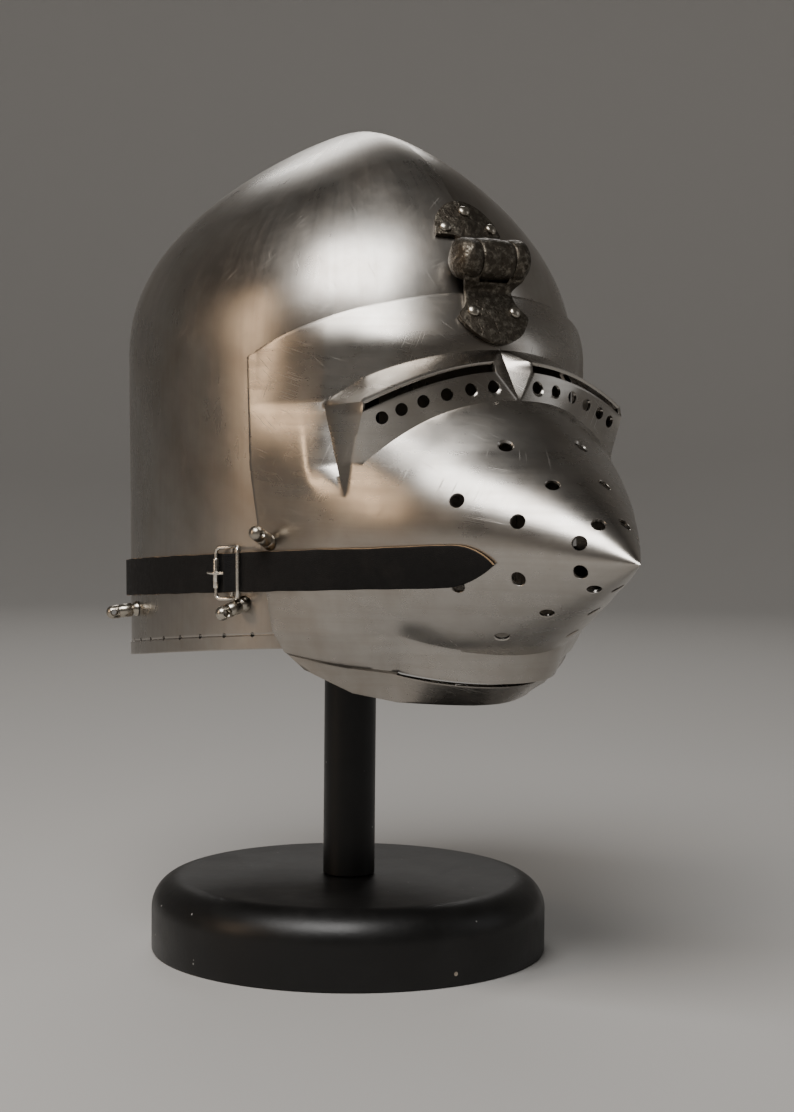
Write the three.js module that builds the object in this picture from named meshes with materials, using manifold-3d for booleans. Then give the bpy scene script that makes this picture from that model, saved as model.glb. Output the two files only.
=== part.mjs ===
// Visored bascinet helmet resting on a turned display stand.
// Millimetres, +Z up. The helmet faces -Y and its wearer's right side is -X.
// The origin lies on the stand's column axis, in the face that the stand rests on.
// Angles round the helmet are measured at the upright axis, from straight ahead (-Y).

import * as THREE from 'three';
import { mergeVertices } from 'three/addons/utils/BufferGeometryUtils.js';
import Module from 'manifold-3d';

const wasm = await Module();
wasm.setup();

// Driving dimensions of the stand
const BASE_RADIUS = 110;
const BASE_HEIGHT = 41;
const BASE_ROUNDING = 17.5;
const POST_RADIUS = 14.4;
const CAP_BALL_RADIUS = 60;
const CAP_TOP = 443.2;
const CAP_UNDERSIDE = 404;
const CAP_RIM_RADIUS = 44;

// Driving dimensions of the skull
const TOUCH_GAP = 0.35;
const SKULL_PLATE = 1.8;
const SKULL_AXIS_Y = 7.5;
const SKULL_HALF_WIDTH = 115.5;
const SKULL_HALF_LENGTH = 142;
const SPRING_HEIGHT = 330;
const CROWN_HEIGHT = 453.5;
const KEEL_HEIGHT = 1.4;
const KEEL_REACH = 12;
const RIM_HEIGHT = 169.6;
const RIM_RISE_PER_MM = 0.087;
const RIM_BAND = 7.5;
const RIM_BAND_PROUD = 1;
const FACE_HALF_WIDTH = 74;
const FACE_TOP = 339;
const LINING_HOLE_RADIUS = 1.25;
const LINING_HOLE_PITCH = 19.35;

// Driving dimensions of the visor
const VISOR_PLATE = 1.6;
const VISOR_STANDOFF = 3;
const SNOUT_TIP_Y = -263;
const SNOUT_TIP_HEIGHT = 228;
const SIGHT_HEIGHT = 311;
const SIGHT_FRONT = 161.2;
const SIGHT_CURVE = 1 / 366;
const SIGHT_ARCH = 0.0035;
const SIGHT_HALF_WIDTH = 77;
const SIGHT_HOLE_RADIUS = 3.15;
const SLOT_TOP = 12.4;
const SLOT_BOTTOM = 8.8;
const BREATH_HOLE_RADIUS = 3.5;
const LIP_FRONT = 165;
const LIP_DRAW = 29;
const LIP_FOLD_FRONT = 168;
const LIP_FOLD_DRAW = 26;

// Driving dimensions of the strap and buckle
const STRAP_WIDTH = 20;
const STRAP_THICKNESS = 2.2;
const STRAP_GAP = 0.5;
const STRAP_HEIGHT = 211;
const STRAP_RISE_PER_MM = 0.077;
const BUCKLE_WIRE = 1;
const BUCKLE_HALF_LENGTH = 10.3;
const BUCKLE_HALF_HEIGHT = 13.2;

const DEG = Math.PI / 180;

// Plain number helpers
const mix = (a, b, t) => a + (b - a) * t;
const clamp = (t, low, high) => Math.min(Math.max(t, low), high);
const ease = (t) => {
  const c = clamp(t, 0, 1);
  return c * c * (3 - 2 * c);
};

// Reads a named column of a table at a station, with a smooth monotone curve between rows.
function column(rows, key, name, at) {
  const last = rows.length - 1;
  const x = clamp(at, rows[0][key], rows[last][key]);
  let i = 0;
  while (i < last - 1 && x > rows[i + 1][key]) i += 1;
  const rise = (k) => (rows[k + 1][name] - rows[k][name]) / (rows[k + 1][key] - rows[k][key]);
  const slope = (k) => {
    if (k === 0) return rise(0);
    if (k === last) return rise(last - 1);
    const before = rise(k - 1);
    const after = rise(k);
    return before * after <= 0 ? 0 : (2 * before * after) / (before + after);
  };
  const span = rows[i + 1][key] - rows[i][key];
  const t = (x - rows[i][key]) / span;
  const a = rows[i][name];
  const b = rows[i + 1][name];
  const ha = (1 + 2 * t) * (1 - t) * (1 - t);
  const hb = t * t * (3 - 2 * t);
  const hc = t * (1 - t) * (1 - t);
  const hd = -t * t * (1 - t);
  return ha * a + hb * b + span * (hc * slope(i) + hd * slope(i + 1));
}

// Larger of two distances, with a fillet of the given size where they meet
const fillet = (a, b, size) => 0.5 * (a + b + Math.hypot(a - b, size));

// Joins and cuts
function toSolid(geometry) {
  const bare = geometry.clone();
  bare.deleteAttribute('normal');
  bare.deleteAttribute('uv');
  const merged = mergeVertices(bare, 1e-4);
  return new wasm.Manifold(new wasm.Mesh({
    numProp: 3,
    vertProperties: new Float32Array(merged.attributes.position.array),
    triVerts: new Uint32Array(merged.index.array),
  }));
}

function toGeometry(solid) {
  const mesh = solid.getMesh();
  const geometry = new THREE.BufferGeometry();
  geometry.setAttribute('position', new THREE.BufferAttribute(new Float32Array(mesh.vertProperties), 3));
  geometry.setIndex(new THREE.BufferAttribute(new Uint32Array(mesh.triVerts), 1));
  return geometry;
}

function cutAway(geometry, cutters) {
  let solid = toSolid(geometry);
  for (const cutter of cutters) solid = solid.subtract(toSolid(cutter));
  return toGeometry(solid);
}

// A round bar between two points
function barBetween(from, to, radius, sides) {
  const start = new THREE.Vector3(...from);
  const end = new THREE.Vector3(...to);
  const bar = new THREE.CylinderGeometry(radius, radius, start.distanceTo(end), sides);
  const turn = new THREE.Quaternion().setFromUnitVectors(
    new THREE.Vector3(0, 1, 0),
    end.clone().sub(start).normalize(),
  );
  bar.applyQuaternion(turn);
  bar.translate(...start.add(end).multiplyScalar(0.5).toArray());
  return bar;
}

// A wall with an outer and an inner skin over a grid of cells, and a rim wherever a kept cell
// ends. point(column, row, skin) gives a place, kept(column, row) says which cells are metal.
function wall({ columns, rows, closed, point, kept }) {
  const across = closed ? columns : columns + 1;
  const positions = [];
  const place = new Map();
  const corner = (i, j, skin) => {
    const p = point(closed ? i % columns : i, j, skin);
    const tag = p.map((v) => v.toFixed(3)).join();
    if (!place.has(tag)) {
      place.set(tag, positions.length / 3);
      positions.push(...p);
    }
    return place.get(tag);
  };
  const faces = [];
  const triangle = (a, b, c) => {
    if (a !== b && b !== c && a !== c) faces.push(a, b, c);
  };
  const quad = (a, b, c, d) => {
    triangle(a, b, c);
    triangle(a, c, d);
  };
  const here = (i, j) => {
    if (j < 0 || j >= rows) return false;
    if (!closed && (i < 0 || i >= columns)) return false;
    return kept((i + columns) % columns, j);
  };
  for (let j = 0; j < rows; j += 1) {
    for (let i = 0; i < (closed ? across : columns); i += 1) {
      if (!here(i, j)) continue;
      const o = [corner(i, j, 0), corner(i + 1, j, 0), corner(i + 1, j + 1, 0), corner(i, j + 1, 0)];
      const n = [corner(i, j, 1), corner(i + 1, j, 1), corner(i + 1, j + 1, 1), corner(i, j + 1, 1)];
      quad(o[0], o[1], o[2], o[3]);
      quad(n[3], n[2], n[1], n[0]);
      if (!here(i, j - 1)) quad(o[1], o[0], n[0], n[1]);
      if (!here(i, j + 1)) quad(o[3], o[2], n[2], n[3]);
      if (!here(i - 1, j)) quad(o[0], o[3], n[3], n[0]);
      if (!here(i + 1, j)) quad(o[2], o[1], n[1], n[2]);
    }
  }
  const geometry = new THREE.BufferGeometry();
  geometry.setAttribute('position', new THREE.Float32BufferAttribute(positions, 3));
  geometry.setIndex(faces);
  return geometry;
}

// The skull

// Distance of the skull's outer face from its own axis, at an angle and a height
function skullReach(angle, height) {
  const t = clamp((height - SPRING_HEIGHT) / (CROWN_HEIGHT - SPRING_HEIGHT), 0, 1);
  const below = Math.max(SPRING_HEIGHT - height, 0);
  const wide = SKULL_HALF_WIDTH * (1 - t ** 2.2) ** 0.94 - 0.013 * below;
  const long = SKULL_HALF_LENGTH * (1 - t ** 1.8) ** 0.5 - 0.01 * below;
  if (wide < 0.01) return 0;
  const oval = 1 / Math.hypot(Math.sin(angle) / wide, Math.cos(angle) / long);
  const fromKeel = Math.abs(oval * Math.sin(angle));
  const fade = ease((height - 340) / 50) * (oval / (oval + 25));
  return oval + KEEL_HEIGHT * fade * Math.exp(-fromKeel / KEEL_REACH);
}

// Turns an angle round the skull's axis and a reach into a place
const roundSkull = (angle, reach, height) => [
  -reach * Math.sin(angle),
  SKULL_AXIS_Y - reach * Math.cos(angle),
  height,
];

const rimHeight = (y) => RIM_HEIGHT - RIM_RISE_PER_MM * y;

function skullGeometry() {
  const columns = 48;
  const domeRows = 10;
  const wallRows = 5;
  const bandRows = 2;
  const rows = domeRows + wallRows + bandRows;
  const point = (i, j, skin) => {
    const angle = (i / columns) * 2 * Math.PI;
    const y = SKULL_AXIS_Y - SKULL_HALF_LENGTH * Math.cos(angle);
    const bottom = rimHeight(y);
    const bandTop = bottom + RIM_BAND;
    let height = CROWN_HEIGHT - (CROWN_HEIGHT - SPRING_HEIGHT) * (j / domeRows) ** 2;
    let proud = 0;
    if (j > domeRows) height = mix(SPRING_HEIGHT, bandTop, (j - domeRows) / wallRows);
    if (j > domeRows + wallRows) {
      height = j === rows ? bottom : bandTop - RIM_BAND_PROUD;
      proud = RIM_BAND_PROUD;
    }
    const reach = skullReach(angle, height) + proud;
    if (skin === 0) return roundSkull(angle, reach, height);
    const steep = clamp(1 - (j / domeRows) ** 2, 0, 1);
    const inset = j === 0 ? 0 : Math.min(SKULL_PLATE * mix(1, 1.25, steep), reach * 0.3);
    return roundSkull(angle, reach - inset, height - SKULL_PLATE * 1.05 * ease(steep));
  };
  const shell = wall({ columns, rows, closed: true, point, kept: () => true });
  return cutAway(shell, [faceCutter(), ...liningCutters()]);
}

// The face opening is an arch cut straight through the front wall
function faceCutter() {
  const arch = new THREE.Shape();
  const shoulder = FACE_TOP - FACE_HALF_WIDTH * 0.45;
  arch.moveTo(-FACE_HALF_WIDTH, 100);
  arch.lineTo(FACE_HALF_WIDTH, 100);
  arch.lineTo(FACE_HALF_WIDTH, shoulder);
  arch.absellipse(0, shoulder, FACE_HALF_WIDTH, FACE_TOP - shoulder, 0, Math.PI, false, 0);
  const cutter = new THREE.ExtrudeGeometry(arch, { depth: 200, bevelEnabled: false, curveSegments: 8 });
  cutter.rotateX(Math.PI / 2);
  return cutter;
}

// Holes for the lining's stitches sit on the crease above the rim band
function liningAngles() {
  const angles = [];
  const step = LINING_HOLE_PITCH / 126;
  for (let k = -15; k < 15; k += 1) angles.push(Math.PI + (k + 0.5) * step);
  return angles;
}

function liningCutters() {
  return liningAngles().map((angle) => {
    const y = SKULL_AXIS_Y - SKULL_HALF_LENGTH * Math.cos(angle);
    const height = rimHeight(y) + RIM_BAND + 0.8;
    const reach = skullReach(angle, height);
    const inside = roundSkull(angle, reach - 6, height);
    const outside = roundSkull(angle, reach + 6, height);
    return barBetween(inside, outside, LINING_HOLE_RADIUS, 6);
  });
}

// The visor

// The snout and cheeks, as upright sections along the snout.
// back: distance behind the tip, half: half width, top and bottom: heights, wide: height of
// the widest line, square and under: how far the section departs from an oval, which is 2,
// over and under that line
const SNOUT_SECTIONS = [
  { back: 0, half: 0, top: 228, bottom: 228, wide: 228, square: 2, under: 2 },
  { back: 25, half: 19, top: 249.5, bottom: 214.5, wide: 232, square: 2, under: 2 },
  { back: 50, half: 36.5, top: 267, bottom: 202, wide: 237, square: 2, under: 2 },
  { back: 76, half: 54, top: 283.5, bottom: 188.5, wide: 241, square: 2, under: 2 },
  { back: 100, half: 68, top: 299, bottom: 176.5, wide: 243, square: 2.05, under: 2 },
  { back: 130, half: 81, top: 318, bottom: 162, wide: 243, square: 2.3, under: 2.05 },
  { back: 160, half: 91, top: 336, bottom: 137, wide: 243, square: 2.8, under: 2.7 },
  { back: 195, half: 99.5, top: 352, bottom: 126, wide: 243, square: 3.4, under: 3.4 },
  { back: 263, half: 108, top: 370, bottom: 110, wide: 243, square: 4, under: 4 },
];

// How far a place lies outside the snout's section there: negative inside
function outsideSnout(reach, angle, height) {
  const x = Math.abs(reach * Math.sin(angle));
  const back = -SNOUT_TIP_Y - reach * Math.cos(angle);
  if (back <= 0) return 1;
  const half = column(SNOUT_SECTIONS, 'back', 'half', back);
  const wide = column(SNOUT_SECTIONS, 'back', 'wide', back);
  const power = column(SNOUT_SECTIONS, 'back', height > wide ? 'square' : 'under', back);
  const edge = column(SNOUT_SECTIONS, 'back', height > wide ? 'top' : 'bottom', back);
  const rise = Math.abs(height - wide) / Math.max(Math.abs(edge - wide), 1e-6);
  return (x / Math.max(half, 1e-6)) ** power + rise ** power - 1;
}

// Distance of the snout's and cheeks' face from the column's axis, found by halving
function snoutReach(angle, height) {
  let inside = 40;
  let outside = 270;
  for (let k = 0; k < 40; k += 1) {
    const middle = 0.5 * (inside + outside);
    if (outsideSnout(middle, angle, height) > 0) outside = middle;
    else inside = middle;
  }
  return inside;
}

// Distance from the column's axis of the skull's oval, grown by an offset
function shellReach(angle, height, offset) {
  let reach = 130;
  for (let k = 0; k < 12; k += 1) {
    const x = reach * Math.sin(angle);
    const y = reach * Math.cos(angle) + SKULL_AXIS_Y;
    const own = Math.atan2(x, y);
    reach += (skullReach(own, height) + offset - Math.hypot(x, y)) * 0.95;
  }
  return reach;
}

// The brow plate hugs the skull at its top edge and flares forward to the fold over the sights
function browReach(angle, height) {
  const flare = 8.5 * ease((360 - height) / 34) * Math.cos(clamp(angle * 1.6, -1.5, 1.5));
  return shellReach(angle, height, VISOR_STANDOFF) + Math.max(flare, 0);
}

const visorReach = (angle, height) => (
  fillet(snoutReach(angle, height), shellReach(angle, height, VISOR_STANDOFF), 5)
);

// Height of the line that carries the sight holes, at a distance from the middle
const sightArch = (x) => SIGHT_HEIGHT - SIGHT_ARCH * x * x;

// Reach of the flat front under the sights, before it leans
function sightReach(angle) {
  const s = Math.sin(angle);
  const c = Math.cos(angle);
  if (Math.abs(s) < 1e-4) return SIGHT_FRONT;
  const k = SIGHT_CURVE * s * s;
  return (Math.sqrt(c * c + 4 * SIGHT_FRONT * k) - c) / (2 * k);
}

// A place on the sight front, by angle and height over the line of holes
function onSight(angle, over) {
  const reach = sightReach(angle);
  const x = reach * Math.sin(angle);
  const lean = 0.24 - 0.1 * (x / SIGHT_HALF_WIDTH) ** 2;
  const height = sightArch(x) + over;
  return { reach: reach - lean * over, height };
}

// The visor's plate is laid out on folds that run across it. Each row gives the angles, in
// degrees, at which a fold passes the five lines that run down the plate:
// groove: the two sides of the V groove between the sights, end: the sights' outer end,
// fin: the back of the end facet, edge: the rear edge. at: station down the plate.
const FOLDS = [
  { name: 'top edge', at: 0, groove: 3, end: 27, fin: 36, edge: 56 },
  { name: 'brow fold', at: 1, groove: 0.8, end: 27.4, fin: 36.2, edge: 55.6 },
  { name: 'sight top', at: 2, groove: 4.1, end: 28.3, fin: 36, edge: 55.5 },
  { name: 'sight bottom', at: 3, groove: 4, end: 28.4, fin: 35.7, edge: 55.4 },
  { name: 'snout fold', at: 4, groove: 0.8, end: 30.3, fin: 33, edge: 54.8 },
  { name: 'tip', at: 5, groove: 2.5, end: 22, fin: 28, edge: 51 },
  { name: 'lip fold', at: 6, groove: 3, end: 22.1, fin: 24.5, edge: 48.3 },
  { name: 'lip edge', at: 7, groove: 3, end: 20, fin: 32, edge: 45.6 },
  { name: 'chin top', at: 8, groove: 3, end: 19.6, fin: 31.4, edge: 45 },
  { name: 'bottom edge', at: 9, groove: 3, end: 18.8, fin: 29.5, edge: 41 },
];

// Heights of the folds on the same five lines, the first on the middle line
const FOLD_HEIGHTS = [
  { at: 0, middle: 358, groove: 357.9, end: 350, fin: 344, edge: 325 },
  { at: 1, middle: 329, groove: 328.9, end: 315, fin: 302.4, edge: 300.5 },
  { at: 2, middle: 322.6, groove: 322.4, end: 302, fin: 300, edge: 298 },
  { at: 3, middle: 319.4, groove: 319.2, end: 299.2, fin: 297.4, edge: 295 },
  { at: 4, middle: 303.6, groove: 303.4, end: 271.4, fin: 270.6, edge: 270 },
  { at: 5, middle: 228, groove: 227.8, end: 227, fin: 226, edge: 225 },
  { at: 6, middle: 178.5, groove: 178.6, end: 188, fin: 187, edge: 187 },
  { at: 7, middle: 164, groove: 164, end: 168.5, fin: 171.5, edge: 176.5 },
  { at: 8, middle: 161.5, groove: 161.5, end: 166.3, fin: 169.6, edge: 175 },
  { at: 9, middle: 150.5, groove: 150.5, end: 151.5, fin: 156, edge: 168 },
];

// Stations of the five lines across half the plate
const LINE = { middle: 0, groove: 0.06, end: 0.52, fin: 0.66, edge: 1 };
const LINE_NAMES = ['middle', 'groove', 'end', 'fin', 'edge'];

// Straight run of a row's values between the five lines
function acrossLines(row, station, middleValue) {
  const s = clamp(station, 0, 1);
  let k = 0;
  while (k < 3 && s > LINE[LINE_NAMES[k + 1]]) k += 1;
  const from = LINE_NAMES[k];
  const to = LINE_NAMES[k + 1];
  const a = from === 'middle' ? middleValue : row[from];
  const t = (s - LINE[from]) / (LINE[to] - LINE[from]);
  return mix(a, row[to], t);
}

// Places of the folds in space. station runs from the middle line to the rear edge.
function onFold(k, station) {
  const angle = acrossLines(FOLDS[k], station, 0) * DEG;
  const plain = acrossLines(FOLD_HEIGHTS[k], station, FOLD_HEIGHTS[k].middle);
  const past = station > LINE.end;
  const inGroove = station < LINE.groove;
  const finShare = ease((station - LINE.end) / (LINE.fin - LINE.end));
  if (k === 0) {
    const degrees = angle / DEG;
    const height = FOLD_HEIGHTS[0].middle - 33 * (degrees / 56) ** 2;
    return { angle, height, reach: browReach(angle, height) };
  }
  if (k === 1) {
    const degrees = angle / DEG;
    const curved = FOLD_HEIGHTS[1].middle - 14 * (degrees / 27.4) ** 2;
    const height = past ? plain : curved;
    return { angle, height, reach: mix(browReach(angle, height), visorReach(angle, height), finShare) };
  }
  if (k === 2 || k === 3) {
    const over = k === 2 ? SLOT_TOP : SLOT_BOTTOM;
    if (inGroove) {
      const side = onSight(FOLDS[k].groove * DEG, over);
      const valley = k === 2 ? 150.4 : 152.6;
      const share = station / LINE.groove;
      return { angle, height: mix(plain, side.height, share), reach: mix(valley, side.reach, share) };
    }
    if (!past) return { angle, ...onSight(angle, over) };
    const end = onSight(FOLDS[k].end * DEG, over);
    const share = (station - LINE.end) / (LINE.fin - LINE.end);
    const height = share < 1 ? mix(end.height, FOLD_HEIGHTS[k].fin, share) : plain;
    const onCheek = visorReach(angle, height);
    return { angle, height, reach: share < 1 ? mix(end.reach, onCheek, share) : onCheek };
  }
  if (k === 4) {
    const x = Math.min(sightReach(angle) * Math.sin(angle), 78);
    const height = past ? plain : 303.6 - 32.2 * (x / 78) ** 2.3;
    const onSnout = visorReach(angle, height);
    const above = (163.2 - 0.00513 * x * x) / Math.cos(angle) - onSnout;
    const proud = 0.5 * (above + Math.hypot(above, 1)) * (1 - ease((station - 0.36) / 0.14));
    return { angle, height, reach: onSnout + proud };
  }
  if (k === 6) {
    const degrees = angle / DEG;
    const share = Math.min(degrees / FOLDS[6].end, 1) ** 2;
    const height = past ? plain : mix(FOLD_HEIGHTS[6].middle, FOLD_HEIGHTS[6].end, share);
    const onCheek = visorReach(angle, height);
    return { angle, height, reach: mix(LIP_FOLD_FRONT - LIP_FOLD_DRAW * share, onCheek, share ** 3) };
  }
  if (k === 7 || k === 8) {
    const degrees = angle / DEG;
    const share = clamp((station - LINE.end) / (LINE.fin - LINE.end), 0, 1);
    const lip = LIP_FRONT - LIP_DRAW * Math.min(degrees / FOLDS[7].end, 1) ** 2;
    const inset = k === 8 ? mix(9, 2, share) : 0;
    const dip = (degrees / FOLDS[7].end) ** 2;
    const height = past ? plain : mix(FOLD_HEIGHTS[k].middle, FOLD_HEIGHTS[k].end, dip);
    return { angle, height, reach: mix(lip, chinReach(angle, height), share) - inset };
  }
  if (k === 9) return { angle, height: plain, reach: chinReach(angle, plain) };
  return { angle, height: plain, reach: visorReach(angle, plain) };
}

// The chin under the lip draws in towards the throat
function chinReach(angle, height) {
  const ahead = Math.cos(clamp(angle * 1.8, -1.5, 1.5));
  const drawn = 1 - 0.07 * ease((190 - height) / 40) - 0.1 * ahead * ease((178 - height) / 22);
  return visorReach(angle, Math.max(height, 178)) * drawn;
}

// Under the snout fold the lines at the sight's end bend back, so that the end facet runs down
// to a point. The bend is full a third of the way down and 0 at both folds.
function finBend(station, t) {
  const atEnd = 3.57 * DEG;
  const aside = station < LINE.end
    ? (station / LINE.end) ** 2
    : clamp((LINE.fin - station) / (LINE.fin - LINE.end), 0, 1);
  const hump = t < 1 / 3 ? 3 * t : 1.5 * (1 - t);
  return atEnd * aside * hump;
}

// A place on the visor's outer face: station across, -1 to 1, and station down, 0 to 9
function visorPoint(across, down) {
  const side = Math.sign(across) || 1;
  const station = Math.abs(across);
  const k = clamp(Math.floor(down), 0, 8);
  const t = down - k;
  const upper = onFold(k, station);
  const lower = onFold(k + 1, station);
  const angle = mix(upper.angle, lower.angle, t) + (k === 4 ? finBend(station, t) : 0);
  const height = mix(upper.height, lower.height, t);
  let reach = mix(upper.reach, lower.reach, t);
  if (k === 0) {
    const skin = browReach(angle, height);
    reach = skin + (lower.reach - browReach(lower.angle, lower.height)) * t;
  }
  if (k === 4 || k === 5) {
    const above = upper.reach - visorReach(upper.angle, upper.height);
    const beneath = lower.reach - visorReach(lower.angle, lower.height);
    const nearAbove = k === 4 ? above * (1 - ease(t * 3)) : 0;
    const nearBeneath = k === 5 ? beneath * (1 - ease((1 - t) * 3)) : 0;
    reach = visorReach(angle, height) + nearAbove + nearBeneath;
  }
  return { angle: angle * side, height, reach };
}

// Stations of the plate's grid: the five lines, and even steps between them
function visorColumns() {
  const steps = [1, 7, 2, 5];
  const half = [];
  steps.forEach((count, k) => {
    const from = LINE[LINE_NAMES[k]];
    const to = LINE[LINE_NAMES[k + 1]];
    for (let i = 0; i < count; i += 1) half.push(mix(from, to, i / count));
  });
  half.push(1);
  return [...half.slice(1).reverse().map((s) => -s), ...half];
}

function visorRows() {
  const steps = [3, 1, 1, 2, 6, 5, 2, 1, 2];
  const rows = [];
  steps.forEach((count, k) => {
    for (let i = 0; i < count; i += 1) rows.push(k + i / count);
  });
  rows.push(9);
  return rows;
}

function visorGeometry() {
  const across = visorColumns();
  const down = visorRows();
  const point = (i, j, skin) => {
    const p = visorPoint(across[i], down[j]);
    const reach = p.reach - skin * VISOR_PLATE * 1.35;
    return [-reach * Math.sin(p.angle), -reach * Math.cos(p.angle), p.height];
  };
  const middle = (list, i) => 0.5 * (list[i] + list[i + 1]);
  const kept = (i, j) => {
    const station = Math.abs(middle(across, i));
    const at = middle(down, j);
    const sight = at > 2 && at < 3 && station > LINE.groove && station < LINE.end;
    const mouth = at > 7 && at < 8 && station < LINE.end;
    return !sight && !mouth;
  };
  const plate = wall({
    columns: across.length - 1,
    rows: down.length - 1,
    closed: false,
    point,
    kept,
  });
  return cutAway(plate, [...sightCutters(), ...breathCutters()]);
}

// Six round holes under each sight, evenly stepped along the front
const SIGHT_HOLES = [13.1, 25.4, 37.6, 49.2, 59.8, 68.9];

function sightCutters() {
  const cutters = [];
  for (const side of [-1, 1]) {
    for (const x of SIGHT_HOLES) {
      const y = -SIGHT_FRONT + SIGHT_CURVE * x * x;
      const lean = 2 * SIGHT_CURVE * x;
      const height = sightArch(x);
      const out = [side * (x + 7 * lean), y - 7, height];
      const back = [side * (x - 7 * lean), y + 7, height];
      cutters.push(barBetween(back, out, SIGHT_HOLE_RADIUS, 10));
    }
  }
  return cutters;
}

// Breathing holes lie on straight lines that meet at the tip, three to a line.
// pitch: step behind the tip, side and rise: how far the line leaves the axis for each step
const BREATH_LINES = [
  { name: 'top', pitch: 25.3, side: 0.295, rise: 0.7 },
  { name: 'upper side', pitch: 24.8, side: 0.69, rise: 0.37 },
  { name: 'lower side', pitch: 27, side: 0.59, rise: -0.162 },
  { name: 'under', pitch: 28.2, side: 0.24, rise: -0.455 },
];

function breathCutters() {
  const cutters = [];
  for (const side of [-1, 1]) {
    for (const line of BREATH_LINES) {
      for (const step of [1, 2, 3]) {
        const back = step * line.pitch;
        const angle = side * Math.atan2(back * line.side, -SNOUT_TIP_Y - back);
        const height = SNOUT_TIP_HEIGHT + back * line.rise;
        const spot = faceSpot(visorReach, angle, height);
        cutters.push(barBetween(spot.off(-6), spot.off(6), BREATH_HOLE_RADIUS, 10));
      }
    }
  }
  return cutters;
}

// A place on a face given as a reach, and places straight out from it
function faceSpot(reachOf, angle, height) {
  const at = (a, h) => {
    const r = reachOf(a, h);
    return new THREE.Vector3(-r * Math.sin(a), -r * Math.cos(a), h);
  };
  const here = at(angle, height);
  const round = at(angle + 0.004, height).sub(at(angle - 0.004, height));
  const up = at(angle, height + 0.6).sub(at(angle, height - 0.6));
  const out = up.cross(round).normalize().multiplyScalar(-1);
  if (out.dot(new THREE.Vector3(here.x, here.y, 0)) < 0) out.multiplyScalar(-1);
  return { here, out, off: (distance) => here.clone().addScaledVector(out, distance).toArray() };
}

// The strap and what hangs on it

// Face that the strap lies on: the skull, and the visor from just behind its rear edge
const VISOR_EDGE_ANGLE = 53 * DEG;
const STEP_ANGLE = 8 * DEG;

function seatReach(angle, height) {
  const round = Math.abs(Math.atan2(Math.sin(angle), Math.cos(angle)));
  const onVisor = ease((VISOR_EDGE_ANGLE + STEP_ANGLE - round) / STEP_ANGLE);
  const skullFace = shellReach(round, height, 0);
  return onVisor > 0 ? mix(skullFace, visorReach(round, height), onVisor) : skullFace;
}

const strapHeight = (angle) => {
  const y = -seatReach(angle, STRAP_HEIGHT) * Math.cos(angle);
  return STRAP_HEIGHT - STRAP_RISE_PER_MM * y;
};

// Places on the strap's run: angle round the helmet, height over the strap's middle line,
// and distance out from the face under it
const onRun = (angle, over, out) => (
  faceSpot(seatReach, angle, strapHeight(angle) + over).off(out)
);

const TAIL_TIP = 11.2 * DEG;
const TAIL_POINT = 4.4 * DEG;
const STRAP_END = (360 - 42) * DEG;
const BAR_ANGLE = 60.3 * DEG;
const RUN_RADIUS = 122;
const runAngle = (forward) => BAR_ANGLE - forward / RUN_RADIUS;
const BAR_OUT = 2.95;
const CHAPE_LEATHER = 1.3;
const CHAPE_FRONT = 40 * DEG;
const CHAPE_HALF_WIDTH = 8;
const CHAPE_RETURN = 3.4;
const TONGUE_SLOT = 5.5;
const TONGUE_SLOT_RADIUS = 1.9;

// The strap rises over the chape and over the bar that the chape wraps
function strapLift(angle) {
  const ahead = ease((angle - CHAPE_FRONT + 5 * DEG) / (4 * DEG));
  const overChape = ahead * ease((64 * DEG - angle) / (4 * DEG));
  const overBar = Math.exp(-(((angle - BAR_ANGLE) / (2.3 * DEG)) ** 2));
  const overEdge = Math.exp(-(((360 * DEG - angle - VISOR_EDGE_ANGLE) / (4 * DEG)) ** 2));
  return Math.max(overChape * (CHAPE_LEATHER + TOUCH_GAP), overBar * 6.4, overEdge * 0.4);
}

function strapGeometry() {
  const angles = [0, 0.4, 1, 1.9, 3.1, 4.4].map((step) => TAIL_TIP + step * DEG);
  for (let a = 19; a < 52; a += 4) angles.push(a * DEG);
  for (let step = -6; step <= 6; step += 1) angles.push(BAR_ANGLE + step * 1.3 * DEG);
  for (let a = 71; a < 318; a += 5) angles.push(a * DEG);
  angles.push(STRAP_END);
  const halfWidth = (angle) => {
    const fromTip = clamp((angle - TAIL_TIP) / TAIL_POINT, 0, 1);
    return 0.5 * STRAP_WIDTH * Math.max(Math.sin(fromTip * 0.5 * Math.PI) ** 0.8, 0.06);
  };
  const point = (i, j, skin) => {
    const angle = angles[i];
    const out = STRAP_GAP + strapLift(angle) + (skin === 0 ? STRAP_THICKNESS : 0);
    return onRun(angle, halfWidth(angle) * (1 - j), out);
  };
  const strap = wall({ columns: angles.length - 1, rows: 2, closed: false, point, kept: () => true });
  const start = onRun(runAngle(-2.4), 0, BAR_OUT);
  const end = onRun(runAngle(-7), 0, 9);
  return cutAway(strap, [barBetween(start, end, 1.8, 8)]);
}

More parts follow.
